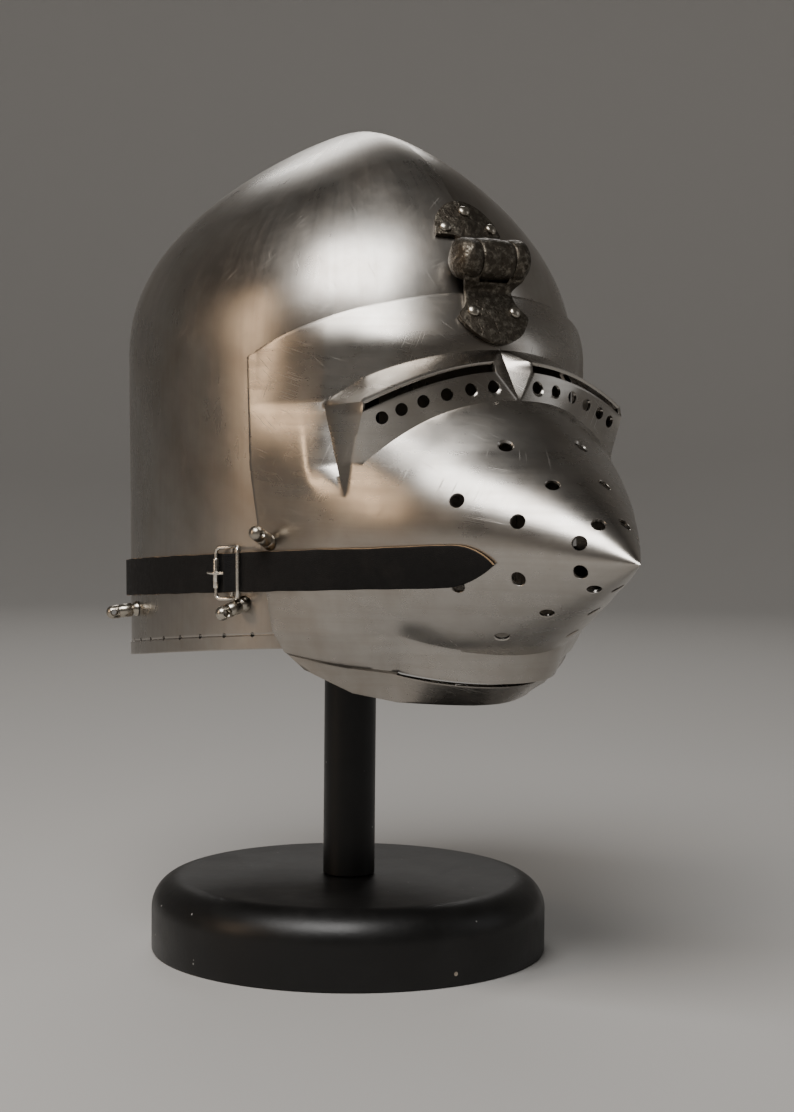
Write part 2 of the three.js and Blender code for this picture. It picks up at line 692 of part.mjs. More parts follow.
// The chape is a short leather that runs back under the strap, wraps the buckle's middle
// bar and returns over it. Its stations give the two skins' angles and distances out.
function chapeStations() {
  const inner = BUCKLE_WIRE + 0.3;
  const outer = inner + CHAPE_LEATHER;
  const stations = [40, 43.5, 47, 50, 53, 55.5, 57.5].map((degrees) => ({
    upper: [degrees * DEG, TOUCH_GAP + CHAPE_LEATHER],
    lower: [degrees * DEG, TOUCH_GAP],
  }));
  const onRing = (radius, turn) => [
    BAR_ANGLE + (radius * Math.cos(turn)) / RUN_RADIUS,
    BAR_OUT + radius * Math.sin(turn),
  ];
  for (let turn = -90; turn <= 90; turn += 22.5) {
    stations.push({ upper: onRing(inner, turn * DEG), lower: onRing(outer, turn * DEG) });
  }
  const returnEnd = BAR_ANGLE - CHAPE_RETURN / RUN_RADIUS;
  const returnOut = BAR_OUT + outer - 0.9 * CHAPE_LEATHER;
  stations.push({ upper: [returnEnd, returnOut - 0.8 * CHAPE_LEATHER], lower: [returnEnd, returnOut] });
  return stations;
}

function chapeGeometry() {
  const stations = chapeStations();
  const point = (i, j, skin) => {
    const [angle, out] = skin === 0 ? stations[i].upper : stations[i].lower;
    return onRun(angle, CHAPE_HALF_WIDTH * (1 - 2 * j), out);
  };
  const body = wall({ columns: stations.length - 1, rows: 1, closed: false, point, kept: () => true });
  const behind = BAR_ANGLE + TONGUE_SLOT / RUN_RADIUS;
  const ahead = BAR_ANGLE - TONGUE_SLOT / RUN_RADIUS;
  const slots = [BAR_OUT, 2 * BAR_OUT].map((out) => (
    barBetween(onRun(behind, 0, out), onRun(ahead, 0, out), TONGUE_SLOT_RADIUS, 8)
  ));
  return cutAway(body, slots);
}

// A bent wire of round section through places on the strap's run
function wire(places, radius, closed, segments) {
  const points = places.map(([forward, over, out]) => (
    new THREE.Vector3(...onRun(runAngle(forward), over, out))
  ));
  const curve = new THREE.CatmullRomCurve3(points, closed, 'centripetal');
  if (closed) return new THREE.TubeGeometry(curve, segments, radius, 6, true);
  const ring = new THREE.Shape();
  ring.absarc(0, 0, radius, 0, 2 * Math.PI);
  return new THREE.ExtrudeGeometry(ring, { steps: segments, extrudePath: curve, curveSegments: 4 });
}

const ROLLER_RADIUS = 1.75;
const ROLLER_OUT = TOUCH_GAP + STRAP_THICKNESS + 0.35 + ROLLER_RADIUS;
const KEEPER_OUT = 6.1;

function buckleFrameGeometry() {
  const l = BUCKLE_HALF_LENGTH;
  const h = BUCKLE_HALF_HEIGHT;
  const half = [
    [-l, h - 4, ROLLER_OUT],
    [-l, h - 2, ROLLER_OUT],
    [-l + 2, h, ROLLER_OUT],
    [-l + 5, h, ROLLER_OUT - 0.8],
    [0, h, BAR_OUT + 0.4],
    [l - 5, h, KEEPER_OUT - 1.6],
    [l - 2, h, KEEPER_OUT],
    [l, h - 2, KEEPER_OUT],
    [l, h - 4, KEEPER_OUT],
  ];
  const mirrored = [...half].reverse().map(([forward, over, out]) => [forward, -over, out]);
  const loop = wire([...half, ...mirrored], BUCKLE_WIRE, true, 44);
  const bar = barBetween(onRun(BAR_ANGLE, -h, BAR_OUT), onRun(BAR_ANGLE, h, BAR_OUT), BUCKLE_WIRE, 6);
  return toGeometry(toSolid(loop).add(toSolid(bar)));
}

function buckleRollerGeometry() {
  const bore = BUCKLE_WIRE + 0.25;
  const half = 7.6;
  const profile = [
    [bore, -half], [ROLLER_RADIUS, -half], [ROLLER_RADIUS, half], [bore, half], [bore, -half],
  ];
  const tube = new THREE.LatheGeometry(profile.map(([r, y]) => new THREE.Vector2(r, y)), 12);
  const low = new THREE.Vector3(...onRun(runAngle(-BUCKLE_HALF_LENGTH), -half, ROLLER_OUT));
  const high = new THREE.Vector3(...onRun(runAngle(-BUCKLE_HALF_LENGTH), half, ROLLER_OUT));
  const axis = high.clone().sub(low).normalize();
  tube.applyQuaternion(new THREE.Quaternion().setFromUnitVectors(new THREE.Vector3(0, 1, 0), axis));
  tube.translate(...low.add(high).multiplyScalar(0.5).toArray());
  return tube;
}

function buckleTongueGeometry() {
  const over = ROLLER_OUT + ROLLER_RADIUS + 1.15;
  const places = [
    [-2.2, 0, BAR_OUT + 0.3],
    [-3.4, 0, BAR_OUT + 2.6],
    [-6, 0, over - 1.1],
    [-BUCKLE_HALF_LENGTH, 0.2, over],
    [-BUCKLE_HALF_LENGTH - 4.8, 0.5, over - 0.5],
  ];
  return wire(places, 0.8, false, 10);
}

// Turned pieces: a profile of radius and height, spun and pointed along a direction
function turned(profile, sides, at, along) {
  const shape = new THREE.LatheGeometry(profile.map(([r, y]) => new THREE.Vector2(r, y)), sides);
  const direction = new THREE.Vector3(...along).normalize();
  shape.applyQuaternion(new THREE.Quaternion().setFromUnitVectors(new THREE.Vector3(0, 1, 0), direction));
  shape.translate(...at);
  return shape;
}

const rivetProfile = (radius) => [
  [0, 0], [radius, 0], [radius * 0.93, radius * 0.3], [radius * 0.6, radius * 0.52], [0, radius * 0.62],
];

// Pegs with a cross hole, on a small collar. angle and height: where each stands on the
// wearer's right, lean: its direction. seat: the face that it stands on
const PEGS = [
  { name: 'vervelle_rear', angle: 112, height: 190, seat: 'skull', lean: [-0.93, 0.34, -0.14] },
  { name: 'vervelle_cheek', angle: 57.8, height: 199.5, seat: 'skull', lean: [-0.94, -0.06, -0.33] },
  { name: 'visor_peg', angle: 48.5, height: 232, seat: 'visor', lean: [-0.8, -0.46, 0.37] },
];

// Radius and height of the collar on the plate, and of the peg that grows out of it
const COLLAR_PROFILE = [[0, 0], [4.2, 0], [3.4, 2.2], [2.2, 3.4], [0, 3.6]];
const PEG_PROFILE = [[0, 1.6], [1.9, 1.6], [1.9, 3.6], [3.7, 4.2], [3.7, 16], [3.1, 16.8], [0, 17]];
const PEG_HOLE_REACH = 12.8;
const PEG_HOLE_RADIUS = 1.6;

function pegGeometry(peg, side) {
  const reachOf = peg.seat === 'skull' ? (a, h) => shellReach(a, h, 0) : visorReach;
  const spot = faceSpot(reachOf, peg.angle * DEG, peg.height);
  const along = new THREE.Vector3(...peg.lean).normalize();
  const root = spot.here.clone().addScaledVector(spot.out, TOUCH_GAP);
  const collar = turned(COLLAR_PROFILE, 12, root.toArray(), spot.out.toArray());
  const body = turned(PEG_PROFILE, 12, root.toArray(), along.toArray());
  const middle = root.clone().addScaledVector(along, PEG_HOLE_REACH);
  const crossing = new THREE.Vector3(0, 0, 1).cross(along).normalize();
  const from = middle.clone().addScaledVector(crossing, -6).toArray();
  const to = middle.clone().addScaledVector(crossing, 6).toArray();
  const hole = toSolid(barBetween(from, to, PEG_HOLE_RADIUS, 8));
  const solid = toSolid(collar).add(toSolid(body)).subtract(hole);
  const geometry = toGeometry(solid);
  if (side > 0) return geometry;
  return mirrorX(geometry);
}

function mirrorX(geometry) {
  const flipped = geometry.clone();
  flipped.scale(-1, 1, 1);
  const index = flipped.index.array;
  for (let i = 0; i < index.length; i += 3) {
    const keep = index[i];
    index[i] = index[i + 1];
    index[i + 1] = keep;
  }
  return flipped;
}

// The hinge

const BARREL = {
  y: -135.8, height: 374.3, radius: 10.4, bore: 3.35, pin: 3, pinHalf: 18.5, half: 21.5, middle: 9.6,
};
const LEAF_THICKNESS = 2.6;

// Half widths of the two leaves at their heights on the middle line
const UPPER_LEAF = [
  { z: 404.5, half: 2.5 }, { z: 403, half: 7 }, { z: 399, half: 12.5 }, { z: 393, half: 16.8 },
  { z: 386.6, half: 18.6 }, { z: 386, half: 9.2 }, { z: 382, half: 9.2 },
];
const LOWER_LEAF = [
  { z: 366.5, half: 18.5 }, { z: 362, half: 16.5 }, { z: 356, half: 14.6 }, { z: 350, half: 17 },
  { z: 344.5, half: 20.3 }, { z: 337, half: 11.5 }, { z: 331.6, half: 1.2 },
];

// Places on a plate that lies on the skull or on the visor, by distance aside and height
function onLeafFace(reachOf, x, height, out) {
  let angle = Math.asin(clamp(-x / 130, -1, 1));
  for (let k = 0; k < 6; k += 1) angle = Math.asin(clamp(-x / reachOf(angle, height), -1, 1));
  return faceSpot(reachOf, angle, height).off(out);
}

function leafGeometry(rows, reachOf, columns, place, kept) {
  const point = (i, j, skin) => {
    const row = rows[j];
    const x = mix(row.half, -row.half, i / columns);
    return place(x, row.z, TOUCH_GAP + (skin === 0 ? LEAF_THICKNESS : 0), reachOf);
  };
  return wall({ columns, rows: rows.length - 1, closed: false, point, kept });
}

const knuckle = (from, to, endFrom, endTo) => {
  const r = BARREL.radius;
  const profile = [[0, from]];
  if (endFrom) profile.push([r * 0.55, from + 0.6], [r * 0.85, from + 2.4], [r, from + 5]);
  else profile.push([r - 0.6, from], [r, from + 0.8]);
  if (endTo) profile.push([r, to - 5], [r * 0.85, to - 2.4], [r * 0.55, to - 0.6]);
  else profile.push([r, to - 0.8], [r - 0.6, to]);
  profile.push([0, to]);
  return turned(profile, 16, [0, BARREL.y, BARREL.height], [1, 0, 0]);
};

// A bar on the hinge's axis, the same length to both sides
const onBarrel = (half, radius) => (
  barBetween([-half, BARREL.y, BARREL.height], [half, BARREL.y, BARREL.height], radius, 12)
);
const pinBore = () => onBarrel(BARREL.pinHalf + TOUCH_GAP, BARREL.bore);

function upperLeafGeometry() {
  const reachOf = (a, h) => shellReach(a, h, 0);
  const place = (x, z, out) => {
    if (z > 384) return onLeafFace(reachOf, x, z, out);
    return [x, BARREL.y + 4 - 0.4 * out, BARREL.height + 6 + out];
  };
  const leaf = leafGeometry(UPPER_LEAF, reachOf, 6, place, () => true);
  const barrel = knuckle(-BARREL.middle, BARREL.middle, false, false);
  return toGeometry(toSolid(leaf).add(toSolid(barrel)).subtract(toSolid(pinBore())));
}

function lowerLeafGeometry() {
  const place = (x, z, out) => {
    if (z < 358) return onLeafFace(browReach, x, z, out);
    const foot = onLeafFace(browReach, x, 357.5, out);
    return [x, foot[1] - (z - 357.5) * 0.12, z];
  };
  const gapHalf = (i, j) => j < 2 && (i === 2 || i === 3);
  const leaf = leafGeometry(LOWER_LEAF, browReach, 6, place, (i, j) => !gapHalf(i, j));
  const inner = BARREL.middle + TOUCH_GAP;
  const left = knuckle(-BARREL.half, -inner, true, false);
  const right = knuckle(inner, BARREL.half, false, true);
  const room = barBetween(
    [-inner + 0.01, BARREL.y, BARREL.height],
    [inner - 0.01, BARREL.y, BARREL.height],
    BARREL.radius + TOUCH_GAP,
    16,
  );
  const solid = toSolid(leaf).subtract(toSolid(room)).add(toSolid(left)).add(toSolid(right));
  return toGeometry(solid.subtract(toSolid(pinBore())));
}

function hingeRivet(reachOf, x, height) {
  let angle = Math.asin(-x / 130);
  for (let k = 0; k < 6; k += 1) angle = Math.asin(-x / reachOf(angle, height));
  const spot = faceSpot(reachOf, angle, height);
  return turned(rivetProfile(3.1), 12, spot.off(2 * TOUCH_GAP + LEAF_THICKNESS), spot.out.toArray());
}

// The stand

function baseGeometry() {
  const profile = [[0, 0], [BASE_RADIUS - 1.5, 0], [BASE_RADIUS, 1.5]];
  for (let k = 0; k <= 6; k += 1) {
    const turn = (k / 6) * 0.5 * Math.PI;
    const r = BASE_RADIUS - BASE_ROUNDING + BASE_ROUNDING * Math.cos(turn);
    const z = BASE_HEIGHT - BASE_ROUNDING + BASE_ROUNDING * Math.sin(turn);
    profile.push([r, z]);
  }
  profile.push([0, BASE_HEIGHT]);
  return turned(profile, 48, [0, 0, 0], [0, 0, 1]);
}

function postGeometry() {
  const from = BASE_HEIGHT + TOUCH_GAP;
  const to = CAP_UNDERSIDE - TOUCH_GAP;
  const profile = [[0, from], [POST_RADIUS, from], [POST_RADIUS, to], [0, to]];
  return turned(profile, 24, [0, 0, 0], [0, 0, 1]);
}

// The cap is a turned dome inside the crown, which the skull rests on
function capGeometry() {
  const ball = CAP_TOP - CAP_BALL_RADIUS;
  const reach = Math.asin(CAP_RIM_RADIUS / CAP_BALL_RADIUS);
  const profile = [[0, CAP_UNDERSIDE], [CAP_RIM_RADIUS, CAP_UNDERSIDE]];
  for (let k = 0; k < 5; k += 1) {
    const turn = reach * (1 - k / 5);
    profile.push([CAP_BALL_RADIUS * Math.sin(turn), ball + CAP_BALL_RADIUS * Math.cos(turn)]);
  }
  profile.push([0, CAP_TOP]);
  return turned(profile, 24, [0, SKULL_AXIS_Y, 0], [0, 0, 1]);
}

const part = new THREE.Group();

function add(name, geometry, finish) {
  const material = new THREE.MeshStandardMaterial(finish);
  const mesh = new THREE.Mesh(geometry, material);
  mesh.name = name;
  part.add(mesh);
}

const STEEL = { color: 0x9a938a, roughness: 0.32, metalness: 1 };
const FORGED_IRON = { color: 0x4a4238, roughness: 0.55, metalness: 1 };
const NICKEL = { color: 0xb8aea0, roughness: 0.2, metalness: 1 };
const LEATHER = { color: 0x1c1a18, roughness: 0.6, metalness: 0 };
const BLACK_PAINT = { color: 0x141414, roughness: 0.45, metalness: 0 };

add('stand_base', baseGeometry(), BLACK_PAINT);
add('stand_post', postGeometry(), BLACK_PAINT);
add('stand_cap', capGeometry(), BLACK_PAINT);
add('skull', skullGeometry(), STEEL);
add('visor', visorGeometry(), STEEL);
add('hinge_upper_leaf', upperLeafGeometry(), FORGED_IRON);
add('hinge_lower_leaf', lowerLeafGeometry(), FORGED_IRON);
add('hinge_pin', onBarrel(BARREL.pinHalf, BARREL.pin), FORGED_IRON);

const skullFace = (a, h) => shellReach(a, h, 0);
add('hinge_rivet_top', hingeRivet(skullFace, 0, 398.6), STEEL);
add('hinge_rivet_upper_right', hingeRivet(skullFace, -13.1, 390), STEEL);
add('hinge_rivet_upper_left', hingeRivet(skullFace, 13.1, 390), STEEL);
add('hinge_rivet_lower_right', hingeRivet(browReach, -11.9, 346.8), STEEL);
add('hinge_rivet_lower_left', hingeRivet(browReach, 11.9, 346.8), STEEL);

for (const peg of PEGS) {
  add(`${peg.name}_right`, pegGeometry(peg, 1), STEEL);
  add(`${peg.name}_left`, pegGeometry(peg, -1), STEEL);
}

add('strap', strapGeometry(), LEATHER);
add('strap_chape', chapeGeometry(), LEATHER);
add('buckle_frame', buckleFrameGeometry(), NICKEL);
add('buckle_roller', buckleRollerGeometry(), NICKEL);
add('buckle_tongue', buckleTongueGeometry(), NICKEL);

const strapRivet = (angle, out) => {
  const spot = faceSpot(seatReach, angle, strapHeight(angle));
  return turned(rivetProfile(3), 12, spot.off(out), spot.out.toArray());
};
add('strap_rivet', strapRivet(STRAP_END - 3 * DEG, STRAP_GAP + STRAP_THICKNESS + TOUCH_GAP), NICKEL);

export default part;
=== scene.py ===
"""Visored bascinet on a turned stand: fine surfaces, finishes, lights and camera.

The script works in millimetres up to the moment a mesh is made, as the part's own drawing
does, and build_mesh turns the places into metres.
"""
import bpy
import bmesh
import math
import numpy as np
from mathutils import Matrix, Vector


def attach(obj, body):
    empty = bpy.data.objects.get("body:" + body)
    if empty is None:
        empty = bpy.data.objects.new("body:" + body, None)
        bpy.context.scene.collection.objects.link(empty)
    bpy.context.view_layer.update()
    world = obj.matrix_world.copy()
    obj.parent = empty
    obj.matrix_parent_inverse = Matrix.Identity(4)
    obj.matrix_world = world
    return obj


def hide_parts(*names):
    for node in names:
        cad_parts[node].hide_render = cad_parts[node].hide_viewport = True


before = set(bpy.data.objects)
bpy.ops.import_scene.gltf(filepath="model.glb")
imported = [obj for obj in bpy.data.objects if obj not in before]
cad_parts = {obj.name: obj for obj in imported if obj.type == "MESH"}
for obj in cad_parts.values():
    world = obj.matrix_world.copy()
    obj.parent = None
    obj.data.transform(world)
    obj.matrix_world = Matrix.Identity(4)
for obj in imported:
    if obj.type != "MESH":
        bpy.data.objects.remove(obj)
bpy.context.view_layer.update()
BODY = "root"
DEG = math.pi / 180
MM = 0.001

# Sizes of the stand
BASE_RADIUS = 110.0
BASE_HEIGHT = 41.0
BASE_ROUNDING = 17.5
POST_RADIUS = 14.4
CAP_BALL_RADIUS = 60.0
CAP_RIM_RADIUS = 44.0
CAP_TOP = 443.2
CAP_UNDERSIDE = 404.0

# Sizes of the skull
SKULL_PLATE = 1.8
SKULL_AXIS_Y = 7.5
SKULL_HALF_WIDTH = 115.5
SKULL_HALF_LENGTH = 142.0
SPRING_HEIGHT = 330.0
CROWN_HEIGHT = 453.5
KEEL_HEIGHT = 1.8
KEEL_REACH = 12.0
RIM_HEIGHT = 169.6
RIM_RISE_PER_MM = 0.087
RIM_BAND = 7.5
RIM_BAND_PROUD = 0.45
FACE_HALF_WIDTH = 74.0
FACE_TOP = 339.0
LINING_HOLE_RADIUS = 1.25
LINING_HOLE_PITCH = 19.35
HOLE_BEVEL = 0.4

# Sizes of the visor
VISOR_PLATE = 1.6
VISOR_STANDOFF = 3.0
SNOUT_TIP_Y = -263.0
SNOUT_TIP_HEIGHT = 228.0
SIGHT_HEIGHT = 311.0
SIGHT_FRONT = 161.2
SIGHT_CURVE = 1 / 366
SIGHT_ARCH = 0.0035
SIGHT_HALF_WIDTH = 77.0
SIGHT_HOLE_RADIUS = 3.15
FIN_DEPTH = 5.0
FIN_RIDGE = 0.6
FIN_RIDGE_SPREAD = 0.05
FIN_BEND = 3.57 * DEG
SLOT_TOP = 12.4
SLOT_BOTTOM = 7.2
BREATH_HOLE_RADIUS = 3.5
LIP_FRONT = 165.0
LIP_DRAW = 29.0
LIP_FOLD_FRONT = 168.0
LIP_FOLD_DRAW = 26.0

# Sizes of the strap, the buckle and the hinge
STRAP_WIDTH = 20.0
STRAP_THICKNESS = 2.2
STRAP_GAP = 0.5
STRAP_HEIGHT = 211.0
STRAP_RISE_PER_MM = 0.077
STRAP_END = (360 - 42) * DEG
VISOR_EDGE_ANGLE = 53 * DEG
STEP_ANGLE = 8 * DEG
TAIL_TIP = 11.2 * DEG
TAIL_POINT = 4.4 * DEG
BAR_ANGLE = 60.3 * DEG
RUN_RADIUS = 122.0
BAR_OUT = 2.95
CHAPE_LEATHER = 1.3
CHAPE_FRONT = 40 * DEG
CHAPE_HALF_WIDTH = 8.0
CHAPE_RETURN = 3.4
BUCKLE_WIRE = 1.0
BUCKLE_HALF_LENGTH = 10.3
BUCKLE_HALF_HEIGHT = 13.2
ROLLER_RADIUS = 1.6
KEEPER_OUT = 6.1
LEAF_THICKNESS = 2.6
BARREL_Y = -135.8
BARREL_HEIGHT = 374.3
BARREL_RADIUS = 10.4
BARREL_HALF = 21.5
BARREL_MIDDLE = 9.6


# Curves and meshes

def ease(t):
    """Smooth step: 0 before 0, 1 after 1, flat at both ends."""
    c = np.clip(t, 0.0, 1.0)
    return c * c * (3 - 2 * c)


def curve_through(xs, ys, at):
    """A monotone cubic through a short table: each piece takes the harmonic mean of the
    slopes beside its ends, or 0 where they change sign."""
    xs = np.asarray(xs, float)
    ys = np.asarray(ys, float)
    rise = np.diff(ys) / np.diff(xs)
    slope = np.empty_like(xs)
    slope[0], slope[-1] = rise[0], rise[-1]
    turning = rise[:-1] * rise[1:]
    total = rise[:-1] + rise[1:]
    safe = np.where(np.abs(total) < 1e-12, 1.0, total)
    slope[1:-1] = np.where(turning <= 0, 0.0, 2 * turning / safe)
    x = np.clip(at, xs[0], xs[-1])
    i = np.clip(np.searchsorted(xs, x, side="right") - 1, 0, len(xs) - 2)
    span = xs[i + 1] - xs[i]
    t = (x - xs[i]) / span
    near = (1 + 2 * t) * (1 - t) ** 2 * ys[i] + t * t * (3 - 2 * t) * ys[i + 1]
    return near + span * (t * (1 - t) ** 2 * slope[i] - t * t * (1 - t) * slope[i + 1])


def fillet(a, b, size):
    """The larger of two distances, rounded where they meet: half of a + b + hypot(a - b, size)."""
    return 0.5 * (a + b + np.hypot(a - b, size))


def build_mesh(name, points, faces, material, smooth_angle=40, uv=None):
    """Makes an object from an array of places in millimetres and an array of faces."""
    mesh = bpy.data.meshes.new(name)
    points = np.asarray(points, float).reshape(-1, 3) * MM
    mesh.vertices.add(len(points))
    mesh.vertices.foreach_set("co", points.ravel())
    if isinstance(faces, list):
        sizes = np.array([len(face) for face in faces])
        flat = np.concatenate([np.asarray(face) for face in faces])
    else:
        sizes, flat = np.full(len(faces), faces.shape[1]), faces.ravel()
    mesh.loops.add(len(flat))
    mesh.loops.foreach_set("vertex_index", flat.astype(np.int32))
    mesh.polygons.add(len(sizes))
    mesh.polygons.foreach_set("loop_start", np.concatenate([[0], np.cumsum(sizes)[:-1]]).astype(np.int32))
    mesh.update(calc_edges=True)
    mesh.validate()
    if uv is not None:
        layer = mesh.uv_layers.new(name="run")
        which = np.empty(len(mesh.loops), np.int32)
        mesh.loops.foreach_get("vertex_index", which)
        layer.data.foreach_set("uv", np.asarray(uv, float).reshape(-1, 2)[which].ravel())
    mesh.polygons.foreach_set("use_smooth", np.ones(len(mesh.polygons), bool))
    if smooth_angle < 180:
        mesh.set_sharp_from_angle(angle=smooth_angle * DEG)
    mesh.materials.append(material)
    piece = bpy.data.objects.new(name, mesh)
    bpy.context.collection.objects.link(piece)
    return piece


def grid_faces(columns, rows, closed=False):
    """Quads of a grid of columns by rows of places, the first index running round."""
    i = np.arange(columns if closed else columns - 1)
    j = np.arange(rows - 1)
    a, b = np.meshgrid(i, j, indexing="ij")
    nxt = (a + 1) % columns
    return np.stack([a * rows + b, nxt * rows + b, nxt * rows + b + 1, a * rows + b + 1], -1).reshape(-1, 4)


def settle(piece, slot, *nodes):
    """Applies the piece's modifiers, and lets it ride and stand for its nodes. The slot is not used."""
    if piece.modifiers:
        apply_modifiers(piece)
    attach(piece, BODY)
    if nodes:
        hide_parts(*nodes)
    return piece


def revolve(name, profile, at, along, material, sides=48, smooth_angle=40):
    """Turns a profile of (radius, height) round a line: place = at + height * along +
    radius * (cos, sin) across it. A radius of 0 is a pole."""
    profile = np.asarray(profile, float)
    along = np.asarray(along, float) / np.linalg.norm(along)
    helper = np.array([0, 0, 1.0]) if abs(along[2]) < 0.9 else np.array([1.0, 0, 0])
    u = np.cross(helper, along)
    u /= np.linalg.norm(u)
    v = np.cross(along, u)
    turn = np.linspace(0, 2 * math.pi, sides, endpoint=False)
    ring = np.cos(turn)[:, None] * u + np.sin(turn)[:, None] * v
    places = (np.asarray(at, float) + profile[None, :, 1, None] * along
              + profile[None, :, 0, None] * ring[:, None, :])
    piece = build_mesh(name, places, grid_faces(sides, len(profile), closed=True), material, 180)
    tidy_mesh(piece, smooth_angle)
    return piece


def tidy_mesh(piece, smooth_angle=40):
    """Merges doubles, drops flat faces, turns normals outwards and marks sharp edges."""
    work = bmesh.new()
    work.from_mesh(piece.data)
    bmesh.ops.remove_doubles(work, verts=work.verts, dist=2e-6)
    bmesh.ops.dissolve_degenerate(work, edges=work.edges, dist=1e-6)
    bmesh.ops.recalc_face_normals(work, faces=work.faces)
    work.to_mesh(piece.data)
    work.free()
    piece.data.polygons.foreach_set("use_smooth", np.ones(len(piece.data.polygons), bool))
    piece.data.set_sharp_from_angle(angle=smooth_angle * DEG)


def cut(piece, tool, sharp=0):
    """Takes the tool's shape out of the piece, with its live modifiers applied, and removes
    the tool."""
    hole = piece.modifiers.new("cut", "BOOLEAN")
    hole.operation = "DIFFERENCE"
    hole.solver = "EXACT"
    hole.object = tool
    apply_modifiers(piece)
    bpy.data.objects.remove(tool)
    while len(piece.data.materials) > 1:
        piece.data.materials.pop(index=len(piece.data.materials) - 1)
    piece.data.polygons.foreach_set("material_index", np.zeros(len(piece.data.polygons), np.int32))
    if sharp:
        piece.data.polygons.foreach_set("use_smooth", np.ones(len(piece.data.polygons), bool))
        piece.data.set_sharp_from_angle(angle=sharp * DEG)


def apply_modifiers(piece):
    """Replaces the mesh by what its modifiers make of it."""
    bpy.context.view_layer.update()
    graph = bpy.context.evaluated_depsgraph_get()
    made = bpy.data.meshes.new_from_object(piece.evaluated_get(graph), depsgraph=graph)
    piece.modifiers.clear()
    old = piece.data
    piece.data = made
    bpy.data.meshes.remove(old)


def hole_bars(name, holes, sides=36, bevel=HOLE_BEVEL):
    """One mesh of bars that bore round holes, rows of centre, axis and radius: each bar is
    straight below the face, and widens above it, so that it leaves a small bevel."""
    turn = np.linspace(0, 2 * math.pi, sides, endpoint=False)
    places, faces = [], []
    for centre, axis, radius in holes:
        axis = axis / np.linalg.norm(axis)
        helper = np.array([0, 0, 1.0]) if abs(axis[2]) < 0.8 else np.array([1.0, 0, 0])
        u = np.cross(helper, axis)
        u /= np.linalg.norm(u)
        v = np.cross(axis, u)
        ring = np.cos(turn)[:, None] * u + np.sin(turn)[:, None] * v
        start = len(places) * sides
        for r, along in ((radius, -5.0), (radius, -bevel), (radius + (bevel + 1.5 if bevel else 0), 1.5)):
            places.append(centre + ring * r + axis * along)
        for level in (0, 1):
            low = start + level * sides
            high = low + sides
            faces += [[low + a, low + (a + 1) % sides, high + (a + 1) % sides, high + a]
                      for a in range(sides)]
        faces.append([start + a for a in reversed(range(sides))])
        faces.append([start + 2 * sides + a for a in range(sides)])
    return build_mesh(name, np.concatenate(places), faces, VISOR_STEEL, 180)


# The skull

def skull_reach(angle, height):
    """Oval of half width and half length that shrink towards the crown, with a keel along
    the middle: 1 / hypot(sin / wide, cos / long) + keel * exp(-aside / reach)."""
    t = np.clip((height - SPRING_HEIGHT) / (CROWN_HEIGHT - SPRING_HEIGHT), 0, 1)
    below = np.maximum(SPRING_HEIGHT - height, 0)
    wide = SKULL_HALF_WIDTH * (1 - t ** 2.2) ** 0.94 - 0.013 * below
    long = SKULL_HALF_LENGTH * (1 - t ** 1.8) ** 0.5 - 0.01 * below
    wide = np.maximum(wide, 0.001)
    long = np.maximum(long, 0.001)
    oval = 1 / np.hypot(np.sin(angle) / wide, np.cos(angle) / long)
    fade = ease((height - 340) / 50) * (oval / (oval + 25))
    return oval + KEEL_HEIGHT * fade * np.exp(-np.abs(oval * np.sin(angle)) / KEEL_REACH)


def rim_height(y):
    """The lower rim's height: it falls evenly towards the back, by y."""
    return RIM_HEIGHT - RIM_RISE_PER_MM * y


def place_round(reach, angle, height, axis_y=0.0):
    """Angle from straight ahead, reach and height to x, y and z."""
    return np.stack([-reach * np.sin(angle), axis_y - reach * np.cos(angle), height + 0 * reach], -1)


# The visor

SNOUT_SECTIONS = {
    "back": (0, 25, 50, 76, 100, 130, 160, 195, 263),
    "half": (0, 19, 36.5, 54, 68, 81, 91, 99.5, 108),
    "top": (228, 249.5, 267, 283.5, 299, 318, 336, 352, 370),
    "bottom": (228, 214.5, 202, 188.5, 176.5, 162, 137, 126, 110),
    "wide": (228, 232, 237, 241, 243, 243, 243, 243, 243),
    "square": (2, 2, 2, 2, 2.05, 2.3, 2.8, 3.4, 4),
    "under": (2, 2, 2, 2, 2, 2.05, 2.7, 3.4, 4),
}


def section(name, back):
    """One measure of the snout's upright section at a distance behind its tip."""
    return curve_through(SNOUT_SECTIONS["back"], SNOUT_SECTIONS[name], back)


def outside_snout(reach, angle, height):
    """(aside / half width) ^ power + (rise / full rise) ^ power - 1, on the upright section
    that lies at that distance behind the tip. It is negative inside."""
    back = -SNOUT_TIP_Y - reach * np.cos(angle)
    half = np.maximum(section("half", back), 1e-6)
    wide = section("wide", back)
    over = height > wide
    power = np.where(over, section("square", back), section("under", back))
    edge = np.where(over, section("top", back), section("bottom", back))
    rise = np.abs(height - wide) / np.maximum(np.abs(edge - wide), 1e-6)
    value = (np.abs(reach * np.sin(angle)) / half) ** power + rise ** power - 1
    return np.where(back <= 0, 1.0, value)


def snout_reach(angle, height):
    """Found by halving: the distance at which outside_snout turns positive."""
    angle, height = np.broadcast_arrays(angle, height)
    inside = np.full(angle.shape, 40.0)
    outside = np.full(angle.shape, 270.0)
    for _ in range(34):
        middle = 0.5 * (inside + outside)
        out = outside_snout(middle, angle, height) > 0
        outside = np.where(out, middle, outside)
        inside = np.where(out, inside, middle)
    return inside


